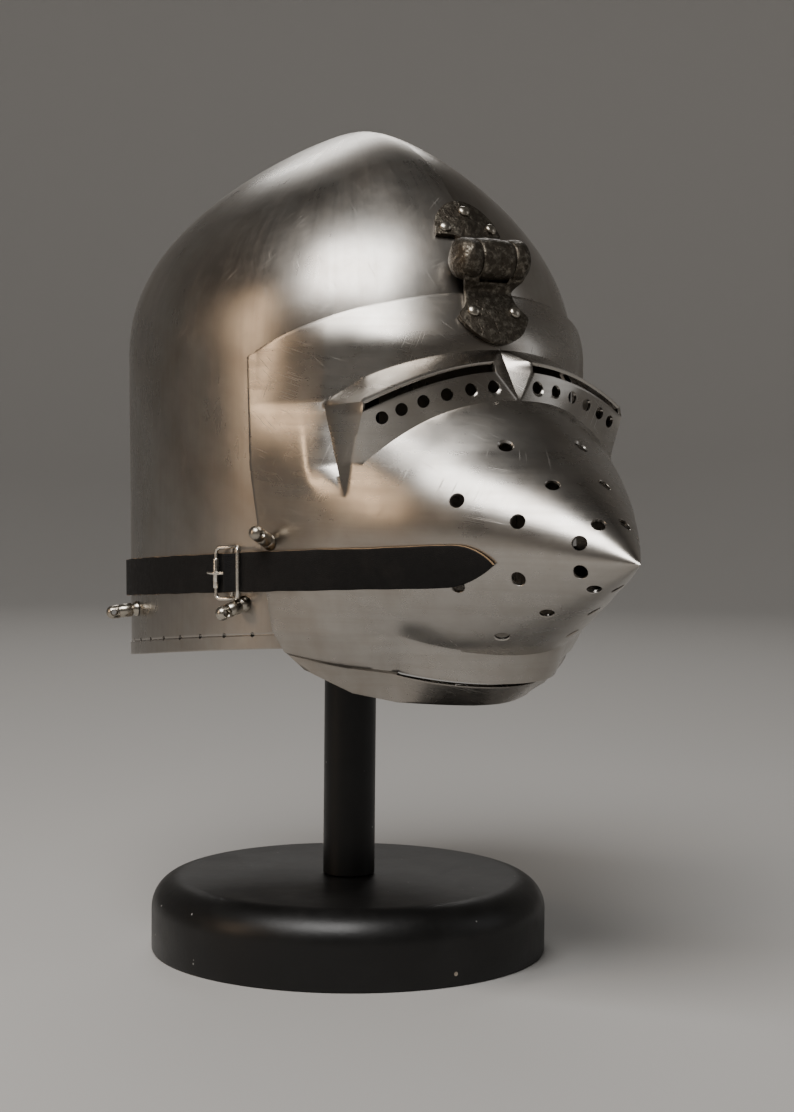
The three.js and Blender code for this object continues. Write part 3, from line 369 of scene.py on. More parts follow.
def shell_reach(angle, height, offset):
    """The skull's oval, grown by an offset and measured from the column's axis."""
    angle, height = np.broadcast_arrays(angle, height)
    reach = np.full(angle.shape, 130.0)
    for _ in range(12):
        x = reach * np.sin(angle)
        y = reach * np.cos(angle) + SKULL_AXIS_Y
        reach = reach + (skull_reach(np.arctan2(x, y), height) + offset - np.hypot(x, y)) * 0.95
    return reach


def brow_reach(angle, height):
    """The skull's oval with the visor's gap, and a flare low down over the eyes."""
    flare = 8.5 * ease((360 - height) / 34) * np.cos(np.clip(angle * 1.6, -1.5, 1.5))
    return shell_reach(angle, height, VISOR_STANDOFF) + np.maximum(flare, 0)


def visor_reach(angle, height):
    """The snout, rounded into the skull's oval with the visor's gap."""
    return fillet(snout_reach(angle, height), shell_reach(angle, height, VISOR_STANDOFF), 5)


def chin_reach(angle, height):
    """The visor's face, drawn in below the mouth, most at the front."""
    ahead = np.cos(np.clip(angle * 1.8, -1.5, 1.5))
    drawn = 1 - 0.07 * ease((190 - height) / 40) - 0.1 * ahead * ease((178 - height) / 22)
    return visor_reach(angle, np.maximum(height, 178)) * drawn


def sight_arch(x):
    """The height of the sights' middle line: an arch that falls with the square of x."""
    return SIGHT_HEIGHT - SIGHT_ARCH * x * x


def sight_reach(angle):
    """The flat front's reach: reach * cos = SIGHT_FRONT - SIGHT_CURVE * x * x, at x aside."""
    s, c = np.sin(angle), np.cos(angle)
    k = SIGHT_CURVE * s * s
    safe = np.maximum(k, 1e-12)
    return np.where(k < 1e-10, SIGHT_FRONT, (np.sqrt(c * c + 4 * SIGHT_FRONT * k) - c) / (2 * safe))


def on_sight(angle, over):
    """A place on the front under the sights: it leans back by lean for each mm of height."""
    reach = sight_reach(angle)
    x = reach * np.sin(angle)
    lean = 0.24 - 0.1 * (x / SIGHT_HALF_WIDTH) ** 2
    return reach - lean * over, sight_arch(x) + over


# Angles, in degrees, at which each fold passes the lines that run down the plate
LINES = (0.0, 0.06, 0.52, 0.66, 1.0)
FOLD_ANGLES = (
    ("top edge", 0, 3, 27, 36, 56),
    ("brow fold", 0, 0.8, 27.4, 36.2, 55.6),
    ("sight top", 0, 4.1, 28.3, 36, 55.5),
    ("sight bottom", 0, 4, 28.4, 35.7, 55.4),
    ("snout fold", 0, 0.15, 30.3, 33, 54.8),
    ("tip", 0, 2.5, 22, 28, 51),
    ("lip fold", 0, 3, 22.1, 24.5, 48.3),
    ("lip edge", 0, 3, 20, 32, 45.6),
    ("chin top", 0, 3, 19.6, 31.4, 45),
    ("bottom edge", 0, 3, 18.8, 29.5, 41),
)
FOLD_HEIGHTS = (
    ("top edge", 358, 357.9, 350, 344, 325),
    ("brow fold", 329, 328.9, 315, 302.4, 300.5),
    ("sight top", 322.6, 322.4, 302, 300, 298),
    ("sight bottom", 319.4, 319.2, 299.2, 297.4, 295),
    ("snout fold", 303.6, 303.4, 271.4, 270.6, 270),
    ("tip", 228, 227.8, 227, 226, 225),
    ("lip fold", 178.5, 178.6, 188, 187, 187),
    ("lip edge", 164, 164, 168.5, 171.5, 176.5),
    ("chin top", 161.5, 161.5, 166.3, 169.6, 175),
    ("bottom edge", 150.5, 150.5, 151.5, 156, 168),
)
LINE_END, LINE_FIN, LINE_GROOVE = LINES[2], LINES[3], LINES[1]


def on_fold(k, station):
    """Angle, height and reach of fold k, a row of FOLD_ANGLES from the top, at stations from
    the middle line, 0, to the rear edge, 1. Each fold follows the face it bounds, and the
    sights have a flat front."""
    degrees = np.interp(station, LINES, FOLD_ANGLES[k][1:])
    plain = np.interp(station, LINES, FOLD_HEIGHTS[k][1:])
    angle = degrees * DEG
    past = station > LINE_END
    end_degrees = FOLD_ANGLES[k][3]
    middle, end = FOLD_HEIGHTS[k][1], FOLD_HEIGHTS[k][3]
    fin_run = (station - LINE_END) / (LINE_FIN - LINE_END)
    if k == 0:
        # the top edge is an arch on the brow
        height = middle - 33 * (degrees / 56) ** 2
        return angle, height, brow_reach(angle, height)
    if k == 1:
        # an arch over the sights, which passes from the brow's face to the cheek's beyond them
        height = np.where(past, plain, middle - 14 * (degrees / 27.4) ** 2)
        share = ease(fin_run)
        return angle, height, brow_reach(angle, height) * (1 - share) + visor_reach(angle, height) * share
    if k in (2, 3):
        # the sights' edges lie on the flat front, with a groove at the middle, and run out
        # onto the cheek beside it
        over = SLOT_TOP if k == 2 else SLOT_BOTTOM
        reach, height = on_sight(angle, over)
        side_reach, side_height = on_sight(np.array(FOLD_ANGLES[k][2] * DEG), over)
        valley = 150.4 if k == 2 else 152.6
        share = station / LINE_GROOVE
        groove = station < LINE_GROOVE
        height = np.where(groove, plain + (side_height - plain) * share, height)
        reach = np.where(groove, valley + (side_reach - valley) * share, reach)
        end_reach, end_height = on_sight(np.array(end_degrees * DEG), over)
        run = np.clip(fin_run, 0, 1)
        fin_height = end_height + (FOLD_HEIGHTS[k][4] - end_height) * run
        back_height = np.where(fin_run < 1, fin_height, plain)
        on_cheek = visor_reach(angle, back_height)
        back_reach = np.where(fin_run < 1, end_reach + (on_cheek - end_reach) * run, on_cheek)
        return angle, np.where(past, back_height, height), np.where(past, back_reach, reach)
    if k == 4:
        # under the front the fold stands proud of the snout, and it dips in at the fins
        front, curve, half_width, drop = 163.2, 0.00513, 78, 32.2
        x = np.minimum(sight_reach(angle) * np.sin(angle), half_width)
        height = np.where(past, plain, middle - drop * (x / half_width) ** 2.3)
        on_snout = visor_reach(angle, height)
        above = (front - curve * x * x) / np.cos(angle) - on_snout
        proud = 0.5 * (above + np.hypot(above, 1)) * (1 - ease((station - 0.36) / 0.14))
        after = (LINE_FIN + 0.1 - station) / 0.1
        return angle, height, on_snout + proud - FIN_DEPTH * np.clip(np.minimum(fin_run, after), 0, 1)
    if k == 6:
        # a front over the mouth, drawn back with the angle, which passes onto the cheek
        share = np.minimum(degrees / end_degrees, 1) ** 2
        height = np.where(past, plain, middle + (end - middle) * share)
        on_cheek = visor_reach(angle, height)
        front = LIP_FOLD_FRONT - LIP_FOLD_DRAW * share
        return angle, height, front + (on_cheek - front) * share ** 3
    if k in (7, 8):
        # the mouth's two edges: the chin's lies behind the lip's, less so beyond its corners
        share = np.clip(fin_run, 0, 1)
        lip = LIP_FRONT - LIP_DRAW * np.minimum(degrees / 20, 1) ** 2
        inset = 9 + (2 - 9) * share if k == 8 else 0
        height = np.where(past, plain, middle + (end - middle) * (degrees / 20) ** 2)
        return angle, height, lip + (chin_reach(angle, height) - lip) * share - inset
    if k == 9:
        return angle, plain, chin_reach(angle, plain)
    return angle, plain, visor_reach(angle, plain)


def fin_bend(station, t):
    """Under the snout fold the lines at the sight's end bend back, so that the end facet runs
    down to a point: the bend is full a third of the way down, and 0 at both folds."""
    before = (station / LINE_END) ** 2
    aside = np.where(station < LINE_END, before, np.clip((LINE_FIN - station) / (LINE_FIN - LINE_END), 0, 1))
    hump = np.where(t < 1 / 3, 3 * t, 1.5 * (1 - t))
    return FIN_BEND * aside * hump


def visor_grid(steps_across, steps_down):
    """Places of the visor's outer face, and the stations of its columns and rows. Between
    two folds the angle, height and reach run straight; the snout keeps its own face."""
    half = np.concatenate([np.linspace(LINES[k], LINES[k + 1], n, endpoint=False)
                           for k, n in enumerate(steps_across)] + [[1.0]])
    across = np.concatenate([-half[:0:-1], half])
    station, side = np.abs(across), np.where(across < 0, -1.0, 1.0)
    folds = [on_fold(k, station) for k in range(10)]
    angles, heights, reaches, downs = [], [], [], []
    for k, n in enumerate(steps_down):
        upper, lower = folds[k], folds[k + 1]
        t = np.linspace(0, 1, n + (k == 8), endpoint=(k == 8))[None, :]
        angle = upper[0][:, None] * (1 - t) + lower[0][:, None] * t
        height = upper[1][:, None] * (1 - t) + lower[1][:, None] * t
        if k == 4:
            angle = angle + fin_bend(station[:, None], t)
        if k == 0:
            extra = (lower[2] - brow_reach(lower[0], lower[1]))[:, None]
            reach = brow_reach(angle, height) + extra * t
        elif k in (4, 5):
            above = (upper[2] - visor_reach(upper[0], upper[1]))[:, None]
            beneath = (lower[2] - visor_reach(lower[0], lower[1]))[:, None]
            reach = visor_reach(angle, height)
            # a fold's step over the snout's face dies away in the third of the way beside it
            straight = (station > LINE_END - 0.02)[:, None]
            fall = np.where(straight, np.clip(1 - 3 * t, 0, 1), 1 - ease(t * 3))
            reach = reach + (above * fall if k == 4 else beneath * (1 - ease((1 - t) * 3)))
        else:
            reach = upper[2][:, None] * (1 - t) + lower[2][:, None] * t
        if k in (3, 4):
            # a ridge on the fold, highest one spread beyond the line where the fin begins
            beyond = (station[:, None] - LINE_FIN) / FIN_RIDGE_SPREAD
            along = ease(t * 2) if k == 3 else ease((1 - 3 * t) * 2)
            reach = reach + FIN_RIDGE * np.where(beyond > 0, beyond * np.exp(1 - beyond), 0) * along
        angles.append(angle)
        heights.append(height)
        reaches.append(reach)
        downs.append(k + t[0])
    angle = np.concatenate(angles, 1) * side[:, None]
    places = place_round(np.concatenate(reaches, 1), angle, np.concatenate(heights, 1))
    return places, across, np.concatenate(downs)


# Materials

def new_group(name, inputs, outputs):
    """A shader node group with named sockets: rows of name, kind and value."""
    group = bpy.data.node_groups.new(name, "ShaderNodeTree")
    for label, kind, value in inputs:
        socket = group.interface.new_socket(label, in_out="INPUT", socket_type=kind)
        if value is not None:
            socket.default_value = value
    for label, kind in outputs:
        group.interface.new_socket(label, in_out="OUTPUT", socket_type=kind)
    return group, group.nodes.new("NodeGroupInput"), group.nodes.new("NodeGroupOutput")


FLOAT, COLOUR, VECTOR = "NodeSocketFloat", "NodeSocketColor", "NodeSocketVector"


class Nodes:
    """Short ways to place nodes in a tree and link them."""

    def __init__(self, tree):
        self.tree = tree

    def add(self, kind, inputs=(), **values):
        """A node with its settings and inputs: an input is a value or another node's output."""
        node = self.tree.nodes.new(kind)
        for key, value in values.items():
            setattr(node, key, value)
        for key, value in dict(inputs).items():
            if hasattr(value, "is_output"):
                self.tree.links.new(value, node.inputs[key])
            else:
                node.inputs[key].default_value = value
        return node

    def noise(self, vector, scale, detail=4.0, roughness=0.55, distortion=0.0):
        """The strength of a noise at a scale, from 0 to 1."""
        node = self.add("ShaderNodeTexNoise", {"Vector": vector, "Detail": detail,
                                               "Roughness": roughness, "Distortion": distortion})
        if hasattr(scale, "is_output"):
            self.tree.links.new(scale, node.inputs["Scale"])
        else:
            node.inputs["Scale"].default_value = scale
        return node.outputs["Fac"]

    def maths(self, operation, a, b=0.0, clamp=False):
        """One step of arithmetic on two values."""
        return self.add("ShaderNodeMath", {0: a, 1: b}, operation=operation, use_clamp=clamp).outputs[0]

    def ramp(self, value, low, high, out_low=0.0, out_high=1.0):
        """The value between low and high, carried over to out_low and out_high."""
        return self.add("ShaderNodeMapRange", {"Value": value, "From Min": low, "From Max": high,
                                               "To Min": out_low, "To Max": out_high}).outputs[0]

    def blend(self, share, a, b):
        """Colour a where the share is 0, and colour b where it is 1."""
        node = self.add("ShaderNodeMix", data_type="RGBA")
        for index, value in ((0, share), (6, a), (7, b)):
            if hasattr(value, "is_output"):
                self.tree.links.new(value, node.inputs[index])
            else:
                node.inputs[index].default_value = value
        return node.outputs[2]

    def place(self, stretch=(1, 1, 1), turn=(0, 0, 0)):
        """Object coordinates, turned and stretched."""
        where = self.add("ShaderNodeTexCoord")
        mapping = self.add("ShaderNodeMapping", {"Vector": where.outputs["Object"],
                                                 "Scale": stretch, "Rotation": turn})
        return mapping.outputs["Vector"]


def make_scratch_group():
    """Fine straight scratches along a plate: the highest crests of three sheets of much
    stretched noise, each turned another way, broken up by a cloud."""
    group, source, sink = new_group("fine_scratches", (
        ("Vector", VECTOR, None), ("Scale", FLOAT, 2200.0)), (("Mask", FLOAT),))
    n = Nodes(group)
    total = None
    for turn, seed in ((0.35, 0.0), (1.9, 3.7), (-0.8, 8.1)):
        mapping = n.add("ShaderNodeMapping", {"Vector": source.outputs["Vector"], "Rotation": (0, 0, turn),
                                              "Location": (seed, seed, 0), "Scale": (1, 45, 1)},
                        vector_type="TEXTURE")
        crests = n.ramp(n.noise(mapping.outputs[0], source.outputs["Scale"], 0.0, 0.0), 0.7, 0.82)
        shifted = n.add("ShaderNodeVectorMath", {0: source.outputs["Vector"], 1: (seed, 0.3, 0)},
                        operation="ADD")
        broken = n.ramp(n.noise(shifted.outputs[0], 60.0, 2.0), 0.5, 0.68)
        line = n.maths("MULTIPLY", crests, broken, clamp=True)
        total = line if total is None else n.maths("MAXIMUM", total, line)
    group.links.new(total, sink.inputs["Mask"])
    return group


def make_spots_group():
    """Small round pits or specks: the middles of a share of the cells of a cell pattern."""
    group, source, sink = new_group("small_pits", (
        ("Vector", VECTOR, None), ("Scale", FLOAT, 300.0), ("Size", FLOAT, 0.25), ("Share", FLOAT, 0.5)),
        (("Mask", FLOAT),))
    n = Nodes(group)
    cells = n.add("ShaderNodeTexVoronoi", {"Vector": source.outputs["Vector"],
                                           "Scale": source.outputs["Scale"]})
    away = n.maths("DIVIDE", cells.outputs["Distance"], source.outputs["Size"])
    near = n.maths("SUBTRACT", 1.0, away, clamp=True)
    pick = n.add("ShaderNodeSeparateColor", {"Color": cells.outputs["Color"]})
    chosen = n.maths("LESS_THAN", pick.outputs[0], source.outputs["Share"])
    group.links.new(n.maths("MULTIPLY", near, chosen), sink.inputs["Mask"])
    return group


SCRATCHES = make_scratch_group()
PITS = make_spots_group()


def new_material(name, **sockets):
    """A metal or plain material with its nodes and its shader, and the shader's values set."""
    material = bpy.data.materials.new(name)
    material.use_nodes = True
    shader = material.node_tree.nodes["Principled BSDF"]
    for key, value in sockets.items():
        shader.inputs[key.replace("_", " ")].default_value = value
    return material, Nodes(material.node_tree), shader


def use_group(n, group, **inputs):
    """Places a shared group with its values or links, and gives its mask."""
    node = n.add("ShaderNodeGroup", node_tree=group)
    for key, value in inputs.items():
        socket = node.inputs[key.replace("_", " ")]
        if hasattr(value, "is_output"):
            n.tree.links.new(value, socket)
        else:
            socket.default_value = value
    return node.outputs["Mask"]


def make_steel(name, bright, dark, rough, hammer, stretch, plate_run=True):
    """Hand-polished steel: broad hammer dents and a finer wave in the bump, brushing along
    one direction, cloudy roughness, short scratches, and a brownish bloom in patches. On a
    plate the brushing and the scratches follow the plate's own coordinates."""
    material, n, shader = new_material(name, Metallic=1.0)
    where = n.place()
    run = n.add("ShaderNodeUVMap", uv_map="run").outputs["UV"] if plate_run else where
    brushed = n.add("ShaderNodeMapping", {"Vector": run, "Scale": stretch}).outputs["Vector"]
    clouds = n.noise(where, 16.0, 6.0, 0.62)
    mottle = n.noise(where, 90.0, 5.0, 0.6)
    fine = n.noise(brushed, 1500.0, 3.0, 0.6)
    broad = n.noise(brushed, 260.0, 4.0, 0.6)
    bloom = n.ramp(n.noise(where, 11.0, 4.0, 0.55, 0.6), 0.42, 0.68)
    specks = use_group(n, PITS, Vector=where, Scale=240.0, Size=0.15, Share=0.05)
    colour = n.blend(n.maths("MULTIPLY", bloom, 0.55), bright, dark)
    colour = n.blend(n.maths("MULTIPLY", n.ramp(mottle, 0.4, 0.8), 0.2), colour, dark)
    colour = n.blend(n.maths("MULTIPLY", n.ramp(broad, 0.45, 0.8), 0.22), colour, dark)
    colour = n.blend(n.maths("MULTIPLY", specks, 0.16), colour, (0.06, 0.045, 0.033, 1))
    n.tree.links.new(colour, shader.inputs["Base Color"])
    roughness = n.maths("ADD", n.ramp(clouds, 0.32, 0.72, rough - 0.05, rough + 0.07),
                        n.ramp(broad, 0.25, 0.75, -0.025, 0.035))
    roughness = n.maths("ADD", roughness, n.ramp(mottle, 0.25, 0.8, -0.015, 0.025))
    dents = n.noise(where, 30.0, 2.0, 0.4)
    ripple = n.noise(where, 85.0, 2.5, 0.5)
    height = n.maths("ADD", n.maths("MULTIPLY", dents, hammer), n.maths("MULTIPLY", ripple, 0.12 * hammer))
    height = n.maths("ADD", height, n.maths("MULTIPLY", fine, 0.0025))
    height = n.maths("ADD", height, n.maths("MULTIPLY", broad, 0.0025))
    height = n.maths("SUBTRACT", height, n.maths("MULTIPLY", specks, 0.0015))
    if plate_run:
        scratches = use_group(n, SCRATCHES, Vector=run, Scale=2200.0)
        roughness = n.maths("ADD", roughness, n.maths("MULTIPLY", scratches, 0.2))
        height = n.maths("SUBTRACT", height, n.maths("MULTIPLY", scratches, 0.012))
    n.tree.links.new(n.maths("ADD", roughness, n.maths("MULTIPLY", specks, 0.08), clamp=True),
                     shader.inputs["Roughness"])
    bump = n.add("ShaderNodeBump", {"Height": height, "Distance": 0.001, "Strength": 1.0})
    n.tree.links.new(bump.outputs["Normal"], shader.inputs["Normal"])
    return material


def make_forged_iron():
    """Dark forged iron: lumpy hammering, deep pits, and bright wear on the high places."""
    material, n, shader = new_material("forged_iron", Metallic=1.0)
    where = n.place()
    lumps = n.noise(where, 330.0, 5.0, 0.62)
    grain = n.noise(where, 1400.0, 4.0, 0.65)
    pits = use_group(n, PITS, Vector=where, Scale=520.0, Size=0.42, Share=0.45)
    wear = n.ramp(n.maths("ADD", lumps, n.maths("MULTIPLY", grain, 0.35)), 0.66, 0.92)
    colour = n.blend(wear, (0.066, 0.056, 0.044, 1), (0.27, 0.245, 0.2, 1))
    colour = n.blend(n.maths("MULTIPLY", pits, 0.75), colour, (0.035, 0.027, 0.02, 1))
    n.tree.links.new(colour, shader.inputs["Base Color"])
    rough = n.maths("ADD", n.ramp(wear, 0, 1, 0.46, 0.28), n.maths("MULTIPLY", pits, 0.2), clamp=True)
    n.tree.links.new(rough, shader.inputs["Roughness"])
    height = n.maths("ADD", n.maths("MULTIPLY", lumps, 0.9), n.maths("MULTIPLY", grain, 0.22))
    height = n.maths("SUBTRACT", height, n.maths("MULTIPLY", pits, 0.35))
    bump = n.add("ShaderNodeBump", {"Height": height, "Distance": 0.0008, "Strength": 0.9})
    n.tree.links.new(bump.outputs["Normal"], shader.inputs["Normal"])
    return material


def make_nickel():
    """Worn plated wire: slightly yellow, with dull patches and specks."""
    material, n, shader = new_material("worn_nickel", Metallic=1.0)
    where = n.place()
    patches = n.noise(where, 220.0, 4.0, 0.6)
    specks = use_group(n, PITS, Vector=where, Scale=700.0, Size=0.3, Share=0.3)
    colour = n.blend(n.ramp(patches, 0.45, 0.75), (0.78, 0.74, 0.67, 1), (0.52, 0.46, 0.38, 1))
    colour = n.blend(n.maths("MULTIPLY", specks, 0.5), colour, (0.16, 0.12, 0.08, 1))
    n.tree.links.new(colour, shader.inputs["Base Color"])
    n.tree.links.new(n.ramp(patches, 0.3, 0.8, 0.16, 0.36), shader.inputs["Roughness"])
    bump = n.add("ShaderNodeBump", {"Height": n.maths("SUBTRACT", patches, specks), "Distance": 0.00008})
    n.tree.links.new(bump.outputs["Normal"], shader.inputs["Normal"])
    return material


def make_leather():
    """Black grain leather whose cut edges are tan. The run's second coordinate tells how
    near the edge a place is: 1 on the cut edge, 0 in the middle of the face."""
    material, n, shader = new_material("black_leather", Specular_IOR_Level=0.22)
    where = n.place()
    uv = n.add("ShaderNodeUVMap", uv_map="run")
    parts = n.add("ShaderNodeSeparateXYZ", {"Vector": uv.outputs["UV"]})
    cells = n.add("ShaderNodeTexVoronoi", {"Vector": where, "Scale": 1150.0}, feature="DISTANCE_TO_EDGE")
    grain = n.ramp(cells.outputs["Distance"], 0.0, 0.35)
    folds = n.noise(where, 260.0, 4.0, 0.6)
    dust = n.ramp(n.noise(where, 60.0, 4.0, 0.6), 0.5, 0.75)
    ragged = n.maths("ADD", parts.outputs["Y"], n.maths("MULTIPLY", n.maths("SUBTRACT", folds, 0.5), 0.35))
    edge = n.ramp(ragged, 0.78, 0.98)
    colour = n.blend(n.maths("MULTIPLY", dust, 0.5), (0.0045, 0.004, 0.0038, 1), (0.014, 0.012, 0.0105, 1))
    tan = n.blend(folds, (0.19, 0.115, 0.06, 1), (0.40, 0.27, 0.15, 1))
    colour = n.blend(edge, colour, tan)
    n.tree.links.new(colour, shader.inputs["Base Color"])
    rough = n.maths("ADD", n.ramp(folds, 0.3, 0.7, 0.56, 0.72), n.maths("MULTIPLY", edge, 0.3), clamp=True)
    n.tree.links.new(rough, shader.inputs["Roughness"])
    height = n.maths("ADD", n.maths("MULTIPLY", grain, 0.5), folds)
    bump = n.add("ShaderNodeBump", {"Height": height, "Distance": 0.00022, "Strength": 0.9})
    n.tree.links.new(bump.outputs["Normal"], shader.inputs["Normal"])
    return material


def make_black_paint():
    """Satin black paint on turned wood: faint turning waves and orange peel, dust, and a
    few pale chips spread over the whole surface."""
    material, n, shader = new_material("satin_black_paint", Specular_IOR_Level=0.35)
    where = n.place()
    peel = n.noise(where, 520.0, 3.0, 0.5)
    waves = n.noise(where, 45.0, 3.0, 0.5)
    dust = n.ramp(n.noise(where, 30.0, 5.0, 0.65), 0.48, 0.8)
    motes = use_group(n, PITS, Vector=where, Scale=130.0, Size=0.10, Share=0.2)
    chips = use_group(n, PITS, Vector=where, Scale=62.0, Size=0.09, Share=0.13)
    colour = n.blend(n.maths("MULTIPLY", dust, 0.6), (0.005, 0.0048, 0.0046, 1), (0.014, 0.0135, 0.013, 1))
    colour = n.blend(n.ramp(motes, 0.1, 0.4), colour, (0.22, 0.215, 0.205, 1))
    colour = n.blend(n.ramp(chips, 0.12, 0.3), colour, (0.36, 0.31, 0.25, 1))
    n.tree.links.new(colour, shader.inputs["Base Color"])
    rough = n.maths("ADD", n.ramp(waves, 0.3, 0.7, 0.34, 0.42), n.maths("MULTIPLY", dust, 0.1), clamp=True)
    n.tree.links.new(rough, shader.inputs["Roughness"])
    height = n.maths("ADD", n.maths("MULTIPLY", peel, 0.25), waves)
    height = n.maths("SUBTRACT", height, n.maths("MULTIPLY", chips, 1.2))
    bump = n.add("ShaderNodeBump", {"Height": height, "Distance": 0.0003, "Strength": 0.6})
    n.tree.links.new(bump.outputs["Normal"], shader.inputs["Normal"])
    return material


SKULL_STEEL = make_steel("skull_steel", (0.42, 0.40, 0.37, 1), (0.22, 0.175, 0.135, 1),
                         rough=0.29, hammer=0.14, stretch=(1, 0.06, 1))
VISOR_STEEL = make_steel("visor_steel", (0.43, 0.41, 0.38, 1), (0.23, 0.185, 0.14, 1),
                         rough=0.27, hammer=0.12, stretch=(0.06, 1, 1))
FITTING_STEEL = make_steel("fitting_steel", (0.48, 0.45, 0.39, 1), (0.25, 0.21, 0.16, 1),
                           rough=0.27, hammer=0.0, stretch=(1, 1, 1), plate_run=False)
FORGED_IRON = make_forged_iron()
NICKEL = make_nickel()
LEATHER = make_leather()
BLACK_PAINT = make_black_paint()


# Skull and visor plates

# The plates' run is in metres: the angle times this radius, by the way down the plate
PLATE_RUN_RADIUS = 0.12


def plate(name, points, faces, thickness, material, bevel=0.35, uv=None):
    """Gives a skin its thickness inwards and rounds the rims."""
    piece = build_mesh(name, points, faces, material, 180, uv)
    work = bmesh.new()
    work.from_mesh(piece.data)
    bmesh.ops.remove_doubles(work, verts=work.verts, dist=1e-6)
    loose = [v for v in work.verts if not v.link_faces]
    bmesh.ops.delete(work, geom=loose, context="VERTS")
    work.to_mesh(piece.data)
    work.free()
    solid = piece.modifiers.new("thickness", "SOLIDIFY")
    solid.thickness = thickness * MM
    solid.offset = -1
    solid.use_even_offset = False
    rims = piece.modifiers.new("rims", "BEVEL")
    rims.width = bevel * MM
    rims.segments = 2
    rims.limit_method = "ANGLE"
    rims.angle_limit = 62 * DEG
    rims.use_clamp_overlap = True
    return piece


def make_skull():
    """The outer skin: even steps of angle, and heights that close up towards the crown. The
    rim band stands a little proud, under a crease with the stitch holes."""
    beside = np.array([0.12, 0.4, 0.85]) * DEG
    even = np.arange(1, 244) / 244 * 2 * math.pi
    angle = np.concatenate([[0.0], beside, even, 2 * math.pi - beside[::-1]])
    columns, dome, wall = len(angle), 64, 40
    bottom = rim_height(SKULL_AXIS_Y - SKULL_HALF_LENGTH * np.cos(angle))
    top = bottom + RIM_BAND
    j = np.arange(1, dome + 1) / dome
    dome_heights = np.broadcast_to(CROWN_HEIGHT - (CROWN_HEIGHT - SPRING_HEIGHT) * j ** 2, (columns, dome))
    share = np.arange(1, wall + 1)[None] / wall
    wall_heights = SPRING_HEIGHT + (top[:, None] + 1.4 - SPRING_HEIGHT) * share
    # the crease: mm over its middle, and the share of the band's stand at each
    crease = np.array([0.75, 0.4, 0.15, -0.15, -0.3, -0.6, -2.0, -3.8, -5.6, -6.7, -RIM_BAND])
    stands = np.array([0.0, -0.1, -0.35, -0.35, 0.3, 1.0, 1.0, 1.0, 1.0, 1.0, 1.0]) * RIM_BAND_PROUD
    band_heights = top[:, None] + crease[None]
    plain = np.zeros((columns, dome + wall))
    proud = np.concatenate([plain, np.broadcast_to(stands, (columns, len(stands)))], 1)
    heights = np.concatenate([dome_heights, wall_heights, band_heights], 1)
    a = np.broadcast_to(angle[:, None], heights.shape)
    places = place_round(skull_reach(a, heights) + proud, a, heights, SKULL_AXIS_Y)
    rows = heights.shape[1]
    faces = grid_faces(columns, rows, closed=True)
    crown = len(places.reshape(-1, 3))
    down = np.cumsum(np.linalg.norm(np.diff(places, axis=1, prepend=places[:, :1]), axis=2), axis=1)
    run = np.stack([a * PLATE_RUN_RADIUS, down * MM], -1).reshape(-1, 2)
    run = np.concatenate([run, [[0.0, 0.0]]])
    points = np.concatenate([places.reshape(-1, 3), [[0, SKULL_AXIS_Y, CROWN_HEIGHT]]])
    # face opening: the arch's outline is where the grid is cut and its corners are moved
    shoulder = FACE_TOP - FACE_HALF_WIDTH * 0.45
    x, y, z = points.T
    lift = np.maximum(z - shoulder, 0) / (FACE_TOP - shoulder)
    arch = np.hypot(x / FACE_HALF_WIDTH, lift)
    front = y < SKULL_AXIS_Y
    inside = front & (arch < 1)
    drop = inside[faces].any(1)
    rim = np.zeros(len(points), bool)
    rim[faces[drop].ravel()] = True
    kept = np.zeros(len(points), bool)
    kept[faces[~drop].ravel()] = True
    rim &= kept & front
    x[rim] /= np.maximum(arch[rim], 1e-3)
    points = np.stack([x, y, z], -1)
    faces = faces[~drop]
    fan = [[crown, (i + 1) % columns * rows, i * rows] for i in range(columns)]
    everything = [list(f) for f in faces] + fan
    piece = plate("skull_shell", points, everything, SKULL_PLATE, SKULL_STEEL, 0.3, run)
    cut(piece, hole_bars("stitch_holes", stitch_holes(), 20, 0.0), 28)
    return piece


def stitch_holes():
    """Holes for the lining's stitches, at an even pitch on the crease round the back."""
    rows = []
    mean_radius, half_count = 126, 15
    step = LINING_HOLE_PITCH / mean_radius
    for k in range(-half_count, half_count):
        angle = np.array(math.pi + (k + 0.5) * step)
        height = rim_height(SKULL_AXIS_Y - SKULL_HALF_LENGTH * math.cos(angle)) + RIM_BAND + 0.1
        here = place_round(skull_reach(angle, height), angle, height, SKULL_AXIS_Y)
        out = np.array([-math.sin(angle), -math.cos(angle), 0.0])
        rows.append((here, out, LINING_HOLE_RADIUS))
    return rows


def make_visor():
    """The visor's skin with its two sight slots, the mouth slit and the round holes."""
    places, across, down = visor_grid((8, 46, 12, 28), (20, 6, 2, 13, 60, 46, 12, 2, 12))
    columns, rows = places.shape[:2]
    faces = grid_faces(columns, rows)
    i, j = faces[:, 0] // rows, faces[:, 0] % rows
    station = np.abs(across[i] + across[i + 1]) / 2
    at = (down[j] + down[j + 1]) / 2
    sight = (at > 2) & (at < 3) & (station > LINE_GROOVE) & (station < LINE_END)
    mouth = (at > 7) & (at < 8) & (station < LINE_END)
    faces = faces[~(sight | mouth)]
    run = np.stack([np.arctan2(-places[..., 0], -places[..., 1]) * PLATE_RUN_RADIUS,
                    places[..., 2] * MM], -1)
    piece = plate("visor_plate", places.reshape(-1, 3), faces, VISOR_PLATE, VISOR_STEEL, 0.35, run)
    cut(piece, hole_bars("round_holes", sight_holes() + breath_holes()), 38)
    return piece


